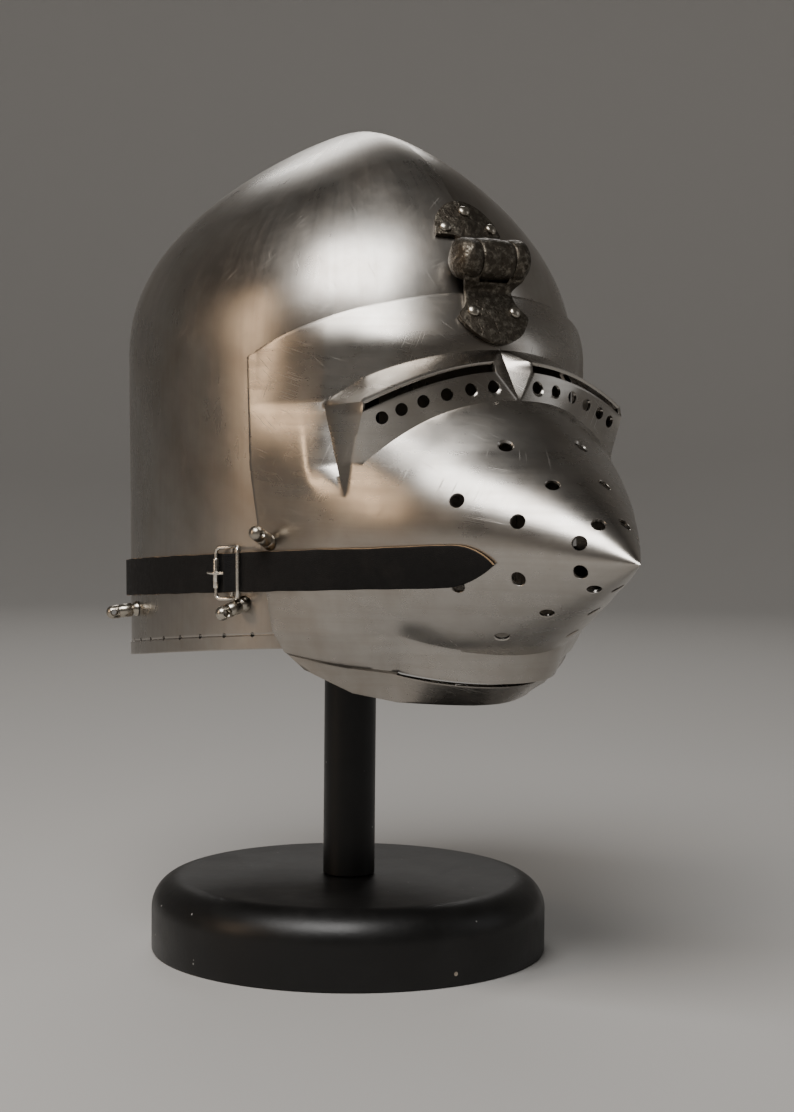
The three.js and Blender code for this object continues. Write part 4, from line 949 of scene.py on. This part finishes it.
def sight_holes():
    """Six holes a side, square to the front: rows of centre, axis and radius."""
    rows = []
    for side in (-1, 1):
        for x in (13.1, 25.4, 37.6, 49.2, 59.8, 68.9):
            centre = np.array([side * x, -SIGHT_FRONT + SIGHT_CURVE * x * x, sight_arch(x)])
            axis = np.array([side * 2 * SIGHT_CURVE * x, -1, 0.0])
            rows.append((centre, axis / np.linalg.norm(axis), SIGHT_HOLE_RADIUS))
    return rows


# Straight rows of breathing holes that meet at the tip: pitch, rise and step aside
BREATH_LINES = (
    ("top", 25.3, 0.295, 0.7),
    ("upper side", 24.8, 0.69, 0.37),
    ("lower side", 27, 0.59, -0.162),
    ("under", 28.2, 0.24, -0.455),
)


def face_spot(reach_of, angle, height):
    """Places on a face given as a reach, and the unit directions straight out of it: the
    cross products of a short step round the face and a short step up it."""
    def at(turned, raised):
        return place_round(reach_of(turned, raised), turned, raised)

    angle, height = np.asarray(angle, float), np.asarray(height, float)
    here = at(angle, height)
    out = np.cross(at(angle + 0.004, height) - at(angle - 0.004, height),
                   at(angle, height + 0.6) - at(angle, height - 0.6))
    out /= np.linalg.norm(out, axis=-1, keepdims=True)
    return here, out * np.where((out[..., :2] * here[..., :2]).sum(-1, keepdims=True) > 0, 1, -1)


def breath_holes():
    """Three holes a side on each line, square to the face: rows of centre, axis and radius."""
    rows = []
    for side in (-1, 1):
        for _, pitch, aside, rise in BREATH_LINES:
            for step in (1, 2, 3):
                back = step * pitch
                angle = side * math.atan2(back * aside, -SNOUT_TIP_Y - back)
                centre, out = face_spot(visor_reach, angle, SNOUT_TIP_HEIGHT + back * rise)
                rows.append((centre, out, BREATH_HOLE_RADIUS))
    return rows


settle(make_skull(), "steel", "skull")
settle(make_visor(), "steel", "visor")


# Stand

def make_stand():
    """The base is a disc with a quarter-round edge, the post a plain bar with a soft foot,
    and the cap a ball-topped dome: each is a profile turned round an upright line."""
    corner = [(BASE_RADIUS - 1.6, 0.0), (BASE_RADIUS - 0.5, 0.35), (BASE_RADIUS, 1.6)]
    turn = np.linspace(0, math.pi / 2, 20)
    centre = BASE_RADIUS - BASE_ROUNDING
    shoulder = BASE_HEIGHT - BASE_ROUNDING
    rounding = [(centre + BASE_ROUNDING * math.cos(t), shoulder + BASE_ROUNDING * math.sin(t)) for t in turn]
    base = [(0, 0), (60, 0)] + corner + rounding + [(60, BASE_HEIGHT), (0, BASE_HEIGHT)]
    settle(revolve("base_disc", base, (0, 0, 0), (0, 0, 1), BLACK_PAINT, 128), "black_paint", "stand_base")
    foot, head = BASE_HEIGHT + 0.35, CAP_UNDERSIDE - 0.35
    post = [(0, foot), (POST_RADIUS - 0.6, foot), (POST_RADIUS, foot + 0.6), (POST_RADIUS, head), (0, head)]
    settle(revolve("post", post, (0, 0, 0), (0, 0, 1), BLACK_PAINT, 64), "black_paint", "stand_post")
    reach = math.asin(CAP_RIM_RADIUS / CAP_BALL_RADIUS)
    ball = CAP_TOP - CAP_BALL_RADIUS
    rounded = [(CAP_BALL_RADIUS * math.sin(t), ball + CAP_BALL_RADIUS * math.cos(t))
               for t in np.linspace(reach, 0, 14)]
    cap = [(0, CAP_UNDERSIDE), (CAP_RIM_RADIUS - 1, CAP_UNDERSIDE),
           (CAP_RIM_RADIUS, CAP_UNDERSIDE + 1)] + rounded
    settle(revolve("cap", cap, (0, SKULL_AXIS_Y, 0), (0, 0, 1), BLACK_PAINT, 64), "black_paint", "stand_cap")


# Strap

def seat_reach(angle, height):
    """The face under the strap: the skull, easing up onto the visor just behind its edge."""
    turned = np.abs(np.arctan2(np.sin(angle), np.cos(angle)))
    on_visor = ease((VISOR_EDGE_ANGLE + STEP_ANGLE - turned) / STEP_ANGLE)
    shell = shell_reach(turned, height, 0.0)
    return shell + (visor_reach(turned, height) - shell) * on_visor


def strap_height(angle):
    """The height of the strap's middle line: it falls evenly towards the back, by y."""
    y = -seat_reach(angle, np.full(np.shape(angle), STRAP_HEIGHT)) * np.cos(angle)
    return STRAP_HEIGHT - STRAP_RISE_PER_MM * y


def on_run(angle, over, out):
    """Places on the strap's run: angle round the helmet, height over the strap's middle
    line, and distance straight out from the face under it."""
    angle, over, out = np.broadcast_arrays(*(np.asarray(v, float) for v in (angle, over, out)))
    height = strap_height(angle) + over
    here, across = face_spot(seat_reach, angle, height)
    return here + across * out[..., None]


def run_angle(forward):
    """The angle at a distance in front of the buckle's bar."""
    return BAR_ANGLE - forward / RUN_RADIUS


def strap_lift(angle):
    """How far the strap rises over the chape, over the bar it wraps, and over the visor's
    edge on the far side."""
    ahead = ease((angle - CHAPE_FRONT + 5 * DEG) / (4 * DEG))
    over_chape = ahead * ease((64 * DEG - angle) / (4 * DEG)) * (CHAPE_LEATHER + 0.35)
    over_bar = 6.4 * np.exp(-(((angle - BAR_ANGLE) / (2.3 * DEG)) ** 2))
    over_edge = 0.4 * np.exp(-(((360 * DEG - angle - VISOR_EDGE_ANGLE) / (4 * DEG)) ** 2))
    return np.maximum(np.maximum(over_chape, over_bar), over_edge)


def band_section(width, thickness, radius):
    """A flat band's section: rows of share over (-1 to 1 of the width), share out (0 to 1 of
    the thickness), and nearness to the cut edge, running once round."""
    half, corner = width / 2, []
    for sign_over, sign_out, start in ((1, 1, 90), (1, 0, 0), (-1, 0, -90), (-1, 1, -180)):
        for step in (0, 30, 60, 90):
            turn = (start - step) * DEG
            over = sign_over * (half - radius) + radius * math.cos(turn)
            out = (thickness - radius if sign_out else radius) + radius * math.sin(turn)
            corner.append((over / half, out / thickness, abs(math.cos(turn)) ** 1.5))
    rows = []
    for k, (a, b) in enumerate(zip(corner, corner[1:] + corner[:1])):
        rows.append(a)
        flat = k % 4 == 3 and abs(a[1] - b[1]) < 1e-6
        if flat:
            for t in (0.04, 0.12, 0.3, 0.5, 0.7, 0.88, 0.96):
                rows.append((a[0] + (b[0] - a[0]) * t, a[1], 0.45 if t in (0.04, 0.96) else 0.0))
    return np.array(rows)


def close_ends(faces, columns, rows):
    """Adds a cap at each end of a band that runs along the grid's columns."""
    caps = [list(range(rows)), [(columns - 1) * rows + k for k in reversed(range(rows))]]
    return [list(f) for f in faces] + caps


def band_faces(columns, rows):
    """Quads of a closed section of rows of places carried through columns, with end caps."""
    i, j = np.meshgrid(np.arange(columns - 1), np.arange(rows), indexing="ij")
    nxt = (j + 1) % rows
    quads = np.stack([i * rows + j, i * rows + nxt, (i + 1) * rows + nxt, (i + 1) * rows + j], -1)
    return close_ends(quads.reshape(-1, 4), columns, rows)


def make_band(name, angle, half_width, base_out, thickness, material):
    """A leather band: its section is carried along the run, scaled by the half width there."""
    section_rows = band_section(STRAP_WIDTH, thickness, 0.55)
    over = half_width[:, None] * section_rows[None, :, 0]
    out = base_out[:, None] + thickness * section_rows[None, :, 1]
    places = on_run(np.broadcast_to(angle[:, None], over.shape), over, out)
    columns, rows = over.shape
    uv = np.stack([np.broadcast_to(angle[:, None] * RUN_RADIUS * MM, over.shape),
                   np.broadcast_to(section_rows[None, :, 2], over.shape)], -1)
    piece = build_mesh(name, places, band_faces(columns, rows), material, 180, uv)
    tidy_mesh(piece, 60)
    return piece


def make_strap():
    """The whole strap, from its pointed tail on the right cheek round the back of the skull
    to the rivet on the left cheek, with the hole that the buckle's tongue goes through."""
    tail = TAIL_TIP + np.array([0, 0.08, 0.2, 0.4, 0.7, 1.1, 1.5, 2, 2.6, 3.2, 3.8, 4.4]) * DEG
    angle = np.concatenate([tail, np.arange(16.4, 51.5, 1.0) * DEG, np.arange(52, 69, 0.3) * DEG,
                            np.arange(69.5, 317.5, 1.4) * DEG, [STRAP_END]])
    from_tip = np.clip((angle - TAIL_TIP) / TAIL_POINT, 0, 1)
    half = 0.5 * STRAP_WIDTH * np.maximum(np.sin(from_tip * 0.5 * math.pi) ** 0.8, 0.03)
    wander = 0.12 * np.sin(angle * 23) + 0.08 * np.sin(angle * 61 + 1)
    piece = make_band("buckled_strap", angle, half + wander * (from_tip > 0.5),
                      STRAP_GAP + strap_lift(angle), STRAP_THICKNESS, LEATHER)
    # the bar that bores the tongue's hole leans back with the tongue
    start, end = on_run(run_angle(-2.4), 0, BAR_OUT), on_run(run_angle(-7), 0, 9)
    length = np.linalg.norm(end - start)
    bar = [(0, 0), (1.6, 0), (1.6, length), (0, length)]
    cut(piece, revolve("strap_hole", bar, start, end - start, LEATHER, 20))
    return piece


def make_chape():
    """A short leather that runs back under the strap, wraps the buckle's middle bar and
    returns over it: two skins carried across the width."""
    inner, outer = BUCKLE_WIRE + 0.3, BUCKLE_WIRE + 0.3 + CHAPE_LEATHER
    flat = np.arange(40, 57.6, 0.7) * DEG
    turn = np.linspace(-90, 90, 25) * DEG
    back = BAR_ANGLE - np.linspace(0.4, CHAPE_RETURN, 5) / RUN_RADIUS
    drop = np.linspace(0, 1.1, 5)
    upper = np.concatenate([
        np.stack([flat, np.full_like(flat, 0.35 + CHAPE_LEATHER)], -1),
        np.stack([BAR_ANGLE + inner * np.cos(turn) / RUN_RADIUS, BAR_OUT + inner * np.sin(turn)], -1),
        np.stack([back, BAR_OUT + inner - drop * 0.6], -1)])
    lower = np.concatenate([
        np.stack([flat, np.full_like(flat, 0.35)], -1),
        np.stack([BAR_ANGLE + outer * np.cos(turn) / RUN_RADIUS, BAR_OUT + outer * np.sin(turn)], -1),
        np.stack([back, BAR_OUT + outer - drop], -1)])
    share = np.array([-1, -0.97, -0.5, 0, 0.5, 0.97, 1])
    loop_over = np.concatenate([share, share[::-1]]) * CHAPE_HALF_WIDTH
    angle, out = (np.concatenate([np.repeat(skin[:, k:k + 1], len(share), 1) for skin in (upper, lower)], 1)
                  for k in (0, 1))
    places = on_run(angle, np.broadcast_to(loop_over, angle.shape), out)
    near = np.concatenate([np.abs(share) > 0.96, np.abs(share) > 0.96]).astype(float)
    uv = np.stack([angle * RUN_RADIUS * MM, np.broadcast_to(near, angle.shape)], -1)
    piece = build_mesh("chape", places, band_faces(*angle.shape), LEATHER, 180, uv)
    tidy_mesh(piece, 50)
    return piece


def tube(name, path, radius, material, closed=False, sides=16, smooth_angle=60):
    """A round wire along a path. Each ring lies square to the path, and starts at a normal
    that is square to the way from the middle of a closed path, or to the upright on an open
    one. radius may change along it."""
    path = np.asarray(path, float)
    count = len(path)
    ahead = np.roll(path, -1, 0) - np.roll(path, 1, 0) if closed else np.gradient(path, axis=0)
    ahead /= np.linalg.norm(ahead, axis=1, keepdims=True)
    normal = np.cross(ahead, path - path.mean(0)) if closed else np.cross(ahead, [0.0, 0.0, 1.0])
    normal /= np.maximum(np.linalg.norm(normal, axis=1, keepdims=True), 1e-9)
    other = np.cross(ahead, normal)
    turn = np.linspace(0, 2 * math.pi, sides, endpoint=False)
    size = np.broadcast_to(np.asarray(radius, float), (count,))[:, None, None]
    places = path[:, None, :] + size * (np.cos(turn)[None, :, None] * normal[:, None]
                                       + np.sin(turn)[None, :, None] * other[:, None])
    i, j = np.meshgrid(np.arange(count if closed else count - 1), np.arange(sides), indexing="ij")
    far = (i + 1) % count
    nxt = (j + 1) % sides
    quads = np.stack([i * sides + j, far * sides + j, far * sides + nxt, i * sides + nxt], -1).reshape(-1, 4)
    faces = [list(f) for f in quads] if closed else close_ends(quads, count, sides)
    piece = build_mesh(name, places, faces, material, 180)
    tidy_mesh(piece, smooth_angle)
    return piece


def rounded_path(corners, radius, step=0.35):
    """A closed path of straight runs between corners of (forward, over, out), each corner
    turned on a quadratic curve of the given size."""
    corners = np.asarray(corners, float)
    count = len(corners)
    pieces = []
    for k in range(count):
        before, here, after = corners[k - 1], corners[k], corners[(k + 1) % count]
        back = (before - here) / np.linalg.norm(before - here)
        on = (after - here) / np.linalg.norm(after - here)
        size = min(radius, 0.49 * np.linalg.norm(before - here), 0.49 * np.linalg.norm(after - here))
        a, b = here + back * size, here + on * size
        t = np.linspace(0, 1, 9)[:, None]
        pieces.append((1 - t) ** 2 * a + 2 * t * (1 - t) * here + t * t * b)
        far_size = min(radius, 0.49 * np.linalg.norm(after - here))
        straight = after - on * far_size - b
        n = max(int(np.linalg.norm(straight) / (4 * step)), 1)
        pieces.append(b + straight * (np.arange(1, n) / n)[:, None])
    return np.concatenate(pieces)


def make_buckle():
    """A bent wire frame with a middle bar, a roller on its rear bar, and a tongue."""
    length, height = BUCKLE_HALF_LENGTH, BUCKLE_HALF_HEIGHT
    roller_out = STRAP_GAP + STRAP_THICKNESS + 0.2 + ROLLER_RADIUS
    side = [(-length, height, roller_out), (0, height, BAR_OUT + 0.4), (length, height, KEEPER_OUT)]
    corners = side + [(forward, -over, out) for forward, over, out in reversed(side)]
    run = rounded_path(corners, 3.2)
    frame_path = on_run(run_angle(run[:, 0]), run[:, 1], run[:, 2])
    loop = tube("buckle_wire", frame_path, BUCKLE_WIRE, NICKEL, closed=True)
    bar_over = np.linspace(-height, height, 9)
    bar_path = on_run(np.full(9, BAR_ANGLE), bar_over, np.full(9, BAR_OUT))
    bar = tube("buckle_bar", bar_path, BUCKLE_WIRE, NICKEL)
    join([loop, bar])
    settle(loop, "nickel", "buckle_frame")
    ends = np.array([-7.6, 7.6])
    low, high = on_run(np.full(2, run_angle(-length)), ends, np.full(2, roller_out))
    span = np.linalg.norm(high - low)
    bore, big = BUCKLE_WIRE + 0.2, ROLLER_RADIUS
    profile = [(bore, 0.2), (big - 0.2, 0), (big, 0.3), (big, span - 0.3), (big - 0.2, span),
               (bore, span - 0.2), (bore, 0.2)]
    settle(revolve("buckle_roll", profile, low, high - low, NICKEL, 24), "nickel", "buckle_roller")
    over = roller_out + ROLLER_RADIUS + 1.0
    spots = np.array([(-1.9, 0, BAR_OUT + 0.6), (-2.9, 0, BAR_OUT + 2.6), (-6, 0, over - 0.9),
                      (-length + 0.5, 0.2, over), (-length - 2.5, 0.4, over - 0.1),
                      (-length - 5.2, 0.6, over - 0.8)])
    t = np.linspace(0, 5, 40)
    run = np.stack([curve_through(np.arange(6), spots[:, k], t) for k in range(3)], -1)
    path = on_run(run_angle(run[:, 0]), run[:, 1], run[:, 2])
    radius = 0.85 * np.sqrt(np.clip(1 - (t / 5) ** 10, 0.02, 1)) * (1 - 0.12 * t / 5)
    settle(tube("buckle_pin", path, radius, NICKEL), "nickel", "buckle_tongue")


def join(pieces):
    """Joins the pieces into the first one."""
    work = bmesh.new()
    for piece in pieces:
        work.from_mesh(piece.data)
    work.to_mesh(pieces[0].data)
    work.free()
    pieces[0].data.polygons.foreach_set("use_smooth", np.ones(len(pieces[0].data.polygons), bool))
    pieces[0].data.set_sharp_from_angle(angle=50 * DEG)
    for piece in pieces[1:]:
        bpy.data.objects.remove(piece)


# Hinge, rivets and pegs

def dome(radius, rise):
    """A rivet's head: a flattened ball over a short straight edge."""
    turn = np.linspace(0, math.pi / 2, 9)
    return [(0, 0), (radius, 0)] + [(radius * math.cos(t), 0.35 + (rise - 0.35) * math.sin(t)) for t in turn]


def angle_aside(reach_of, x, height):
    """The angle at which a face lies x mm aside, found by repeating arcsin(-x / reach)."""
    angle = np.arcsin(-x / 130)
    for _ in range(6):
        angle = np.arcsin(-x / reach_of(angle, height))
    return angle


def skull_face(angle, height):
    """The skull's face, measured from the column's axis."""
    return shell_reach(angle, height, 0.0)


def lumpy(points, amount, pitch):
    """Uneven hammering: three crossed waves, as a distance to move each place."""
    x, y, z = points.T / pitch
    waves = np.sin(x + 1.3 * np.sin(0.7 * z)) * np.sin(1.1 * z + 0.4) + 0.6 * np.sin(1.9 * y + 0.8 * x)
    return amount * (waves + 0.4 * np.sin(2.7 * x - 2.2 * z + 1.0))


def hammer(piece, amount, pitch):
    """Moves every place of a mesh along its normal by the hammering's distance."""
    mesh = piece.data
    count = len(mesh.vertices)
    places, normals = np.empty(count * 3), np.empty(count * 3)
    mesh.vertices.foreach_get("co", places)
    mesh.vertices.foreach_get("normal", normals)
    places, normals = places.reshape(-1, 3), normals.reshape(-1, 3)
    places += normals * lumpy(places / MM, amount, pitch)[:, None] * MM
    mesh.vertices.foreach_set("co", places.ravel())
    mesh.update()


def make_leaf(name, heights, halves, reach_of, gap_from=None, bend=None):
    """A hinge leaf: rows of half width against height, laid on the plate. gap_from opens the
    middle over that height, and bend moves the rows that leave the plate."""
    rows = np.concatenate([np.linspace(a, b, max(int(abs(a - b) / 0.8), 1), endpoint=False)
                           for a, b in zip(heights[:-1], heights[1:])] + [[heights[-1]]])
    order = np.argsort(heights)
    half = curve_through(np.array(heights)[order], np.array(halves)[order], rows)
    share = np.linspace(1, -1, 33)
    x = share[:, None] * half[None, :]
    z = np.broadcast_to(rows[None, :], x.shape)
    here, out = face_spot(reach_of, angle_aside(reach_of, x, z), z)
    places = here + out * (0.35 + LEAF_THICKNESS)
    if bend is not None:
        places = bend(places, z)
    faces = grid_faces(len(share), len(rows))
    if heights[0] < heights[-1]:
        faces = faces[:, ::-1]
    if gap_from is not None:
        i, j = faces.min(1) // len(rows), faces.min(1) % len(rows)
        aside = np.abs(x[i, j] + x[np.minimum(i + 1, len(share) - 1), j]) / 2
        faces = faces[~((aside < BARREL_MIDDLE * 0.86) & (z[0, j] > gap_from))]
    return plate(name, places.reshape(-1, 3), faces, LEAF_THICKNESS, FORGED_IRON, 0.55)


def knuckle(name, start, stop, domed_start, domed_stop):
    """One barrel of the hinge: a bulged bar with turned-in or domed ends."""
    r, length = BARREL_RADIUS, stop - start

    def end(domed):
        """Half the end of a barrel: a dome, or a face turned in at its edge."""
        if domed:
            t = np.linspace(0, math.pi / 2, 9)
            return [(r * 0.97 * math.sin(a), 4.6 * (1 - math.cos(a))) for a in t]
        return [(0, 0), (r - 0.9, 0.0), (r - 0.3, 0.25), (r, 0.9)]

    first = end(domed_start)
    last = [(a, length - b) for a, b in reversed(end(domed_stop))]
    inside = [(r + 0.25 * math.sin(math.pi * t), first[-1][1] + (last[0][1] - first[-1][1]) * t)
              for t in np.linspace(0.12, 0.88, 8)]
    piece = revolve(name, first + inside + last, (start, BARREL_Y, BARREL_HEIGHT), (1, 0, 0),
                    FORGED_IRON, 48, 55)
    hammer(piece, 0.16, 3.1)
    return piece


def make_hinge():
    """Two leaves, three knuckles on one pin, and five domed rivets."""

    def lift_to_barrel(places, z):
        """Rows above 356 mm leave the plate and reach the barrel's front."""
        share = ease((z - 356.0) / 9.0)[..., None]
        stand = np.stack([places[..., 0], np.full(z.shape, BARREL_Y - 4.5), z], -1)
        return places + (stand - places) * share

    outline = ((331.2, 0.8), (331.6, 3.4), (333, 8.0), (336, 13.2), (340, 17.4), (343.4, 19.8),
               (344.6, 20.2), (346.2, 19.0), (349, 15.9), (353, 13.9), (357, 13.4), (361, 15.0),
               (365, 17.4), (368, 18.6))
    lower = make_leaf("hinge_lower", [row[0] for row in outline], [row[1] for row in outline],
                      brow_reach, 362.4, lift_to_barrel)
    inner = BARREL_MIDDLE + 0.35
    left = knuckle("knuckle_right", -BARREL_HALF, -inner, True, False)
    right = knuckle("knuckle_left", inner, BARREL_HALF, False, True)
    finish(lower)
    join([lower, left, right])
    settle(lower, "forged_iron", "hinge_lower_leaf", "hinge_pin")

    def lean_to_barrel(places, z):
        """Rows below 386.4 mm close up and reach the barrel's top."""
        share = ease((386.4 - z) / 5.0)[..., None]
        stand = np.stack([places[..., 0] * 0.5, np.full(z.shape, BARREL_Y + 1.5),
                          np.full(z.shape, BARREL_HEIGHT + 9.0)], -1)
        return places + (stand - places) * share

    upper = make_leaf("hinge_upper", (404.3, 403.2, 401, 397, 391.5, 386.6, 386.2, 381.5),
                      (1.8, 6.2, 10.2, 14.6, 17.7, 18.6, 9.4, 9.2), skull_face, None, lean_to_barrel)
    middle = knuckle("knuckle_middle", -BARREL_MIDDLE, BARREL_MIDDLE, False, False)
    finish(upper)
    join([upper, middle])
    settle(upper, "forged_iron", "hinge_upper_leaf")
    rivets = (("top", skull_face, 0, 398.6), ("upper_right", skull_face, -13.1, 390),
              ("upper_left", skull_face, 13.1, 390), ("lower_right", brow_reach, -11.9, 346.8),
              ("lower_left", brow_reach, 11.9, 346.8))
    for name, reach_of, x, height in rivets:
        here, out = face_spot(reach_of, angle_aside(reach_of, x, height), height)
        head = revolve("rivet_" + name, dome(3.1, 1.95), here + out * (0.5 + LEAF_THICKNESS), out,
                       FITTING_STEEL, 32)
        settle(head, "steel", "hinge_rivet_" + name)


def finish(piece):
    """Applies a piece's modifiers, and beats its faces uneven."""
    apply_modifiers(piece)
    hammer(piece, 0.1, 2.4)


# Pegs: angle round the helmet, height, direction, and the plate each stands on
PEGS = (
    ("vervelle_rear", 112, 190, (-0.93, 0.34, -0.14), skull_face),
    ("vervelle_cheek", 57.8, 199.5, (-0.94, -0.06, -0.33), skull_face),
    ("visor_peg", 48.5, 232, (-0.8, -0.46, 0.37), visor_reach),
)


def make_pegs():
    """Turned pegs with a cross hole, each on a waisted collar."""
    collar = [(0, 0), (4.2, 0), (4.0, 0.8), (3.4, 2.0), (2.6, 3.0), (2.0, 3.6), (0, 3.6)]
    ball = [(3.7 * math.cos(t), 13.6 + 3.4 * math.sin(t)) for t in np.linspace(0, math.pi / 2, 10)]
    body = [(0, 1.6), (2.7, 1.6), (2.7, 2.6), (3.3, 2.8), (3.7, 3.3), (3.7, 9.4), (3.55, 9.6), (3.55, 9.8),
            (3.7, 10.0)] + ball
    cross_hole = [(0, -6), (2.1, -6), (2.1, -3.5), (1.5, -2.9), (1.5, 2.9), (2.1, 3.5), (2.1, 6), (0, 6)]
    hole_along = 12.8
    for name, degrees, height, lean, reach_of in PEGS:
        for side, word in ((1, "right"), (-1, "left")):
            here, out = face_spot(reach_of, degrees * DEG, height)
            along = np.array(lean) / np.linalg.norm(lean)
            root = here + out * 0.35
            flip = np.array([side, 1, 1])
            root, out, along = root * flip, out * flip, along * flip
            peg = revolve(name + "_peg_" + word, body, root, along, FITTING_STEEL, 32)
            crossing = np.cross([0, 0, 1.0], along)
            crossing /= np.linalg.norm(crossing)
            tool = revolve("hole", cross_hole, root + along * hole_along, crossing, FITTING_STEEL, 24)
            cut(peg, tool)
            foot = revolve("foot", collar, root, out, FITTING_STEEL, 32)
            join([peg, foot])
            settle(peg, "steel", name + "_" + word)


def make_strap_rivet():
    """The rivet that ends the strap on the far cheek."""
    angle = STRAP_END - 3 * DEG
    here, out = face_spot(seat_reach, angle, strap_height(angle))
    base = here + out * (STRAP_GAP + STRAP_THICKNESS + 0.3)
    head = revolve("strap_end_rivet", dome(3.0, 1.9), base, out, NICKEL, 32)
    settle(head, "nickel", "strap_rivet")


make_stand()
settle(make_strap(), "leather", "strap")
settle(make_chape(), "leather", "strap_chape")
make_buckle()
make_hinge()
make_pegs()
make_strap_rivet()


# Floor, light and camera

def set_stage():
    """A pale round floor that rises into a backdrop on every side."""
    floor_material, _, shader = new_material("pale_floor", Roughness=0.7)
    shader.inputs["Base Color"].default_value = (0.42, 0.41, 0.395, 1)
    flat, radius, wall, sides = 2.6, 1.2, 6.0, 96
    turn = np.linspace(0, math.pi / 2, 17)
    run = [(flat + radius * math.sin(t), radius * (1 - math.cos(t))) for t in turn]
    run = np.array(run + [(flat + radius, wall)])
    around = np.arange(sides) / sides * 2 * math.pi
    spokes = np.stack([np.cos(around), np.sin(around)], -1)
    plan = run[:, 0][None, :, None] * spokes[:, None, :]
    heights = np.broadcast_to(run[:, 1][None, :, None], (sides, len(run), 1))
    places = np.concatenate([np.concatenate([plan, heights], -1).reshape(-1, 3), [[0.0, 0.0, 0.0]]])
    middle, rows = len(places) - 1, len(run)
    walls = grid_faces(sides, rows, closed=True)[:, ::-1]
    fan = [[middle, a * rows, (a + 1) % sides * rows] for a in range(sides)]
    floor = build_mesh("floor", places / MM, [list(face) for face in walls] + fan, floor_material, 180)


def area_light(name, at, aim, size, power, colour=(1, 1, 1)):
    """A rectangular lamp at a place, turned to face its aim."""
    light = bpy.data.lights.new(name, "AREA")
    light.shape = "RECTANGLE"
    light.size, light.size_y = size
    light.energy = power
    light.color = colour
    lamp = bpy.data.objects.new(name, light)
    lamp.location = at
    lamp.rotation_euler = (Vector(aim) - Vector(at)).to_track_quat("-Z", "Y").to_euler()
    bpy.context.collection.objects.link(lamp)
    return lamp


def set_world():
    """Even, dim, slightly warm surroundings."""
    world = bpy.data.worlds.new("soft_room")
    bpy.context.scene.world = world
    world.use_nodes = True
    backdrop = world.node_tree.nodes["Background"]
    backdrop.inputs["Color"].default_value = (0.52, 0.49, 0.455, 1)
    backdrop.inputs["Strength"].default_value = 0.12


# The photograph's focal length and height, in its own pixels
FOCAL_PIXELS = 2201.12
PICTURE_ROWS = 1112


def set_camera():
    """The photograph's viewpoint: 30 degrees to the wearer's right, 1.23 m from the stand's
    axis, and tilted 2.9 degrees down with a slight roll."""
    turn, aim, dip, roll = -30 * DEG, -0.020646, 0.0510474, 0.0099555
    distance, height = 1.22539, 0.28203
    at = Vector((math.sin(turn) * distance, -math.cos(turn) * distance, height))
    heading = turn + aim
    ahead = Vector((-math.sin(heading), math.cos(heading), 0))
    right = Vector((math.cos(heading), math.sin(heading), 0))
    up = Vector((0, 0, 1))
    look = ahead * math.cos(dip) - up * math.sin(dip)
    over = ahead * math.sin(dip) + up * math.cos(dip)
    side = right * math.cos(roll) + over * math.sin(roll)
    top = over * math.cos(roll) - right * math.sin(roll)
    lens = bpy.data.cameras.new("photo_view")
    lens.sensor_fit = "VERTICAL"
    lens.sensor_height = 36
    lens.lens = lens.sensor_height * FOCAL_PIXELS / PICTURE_ROWS
    lens.clip_end = 50
    camera = bpy.data.objects.new("photo_view", lens)
    camera.matrix_world = Matrix((
        (side.x, top.x, -look.x, at.x),
        (side.y, top.y, -look.y, at.y),
        (side.z, top.z, -look.z, at.z),
        (0, 0, 0, 1),
    ))
    bpy.context.collection.objects.link(camera)
    bpy.context.scene.camera = camera


set_camera()
set_world()
set_stage()
area_light("key", (-1.1, -0.85, 2.05), (0, -0.04, 0.36), (1.5, 1.2), 68, (1.0, 0.985, 0.97))
area_light("side", (-2.1, 0.3, 0.9), (0, 0, 0.3), (0.3, 1.2), 7, (1.0, 0.72, 0.48))
area_light("fill", (1.9, -1.3, 1.1), (0, 0, 0.28), (0.8, 1.4), 2.5, (0.95, 0.97, 1.0))
area_light("rim", (1.0, 1.9, 1.8), (0, 0, 0.3), (1.2, 0.6), 12, (1.0, 0.98, 0.95))
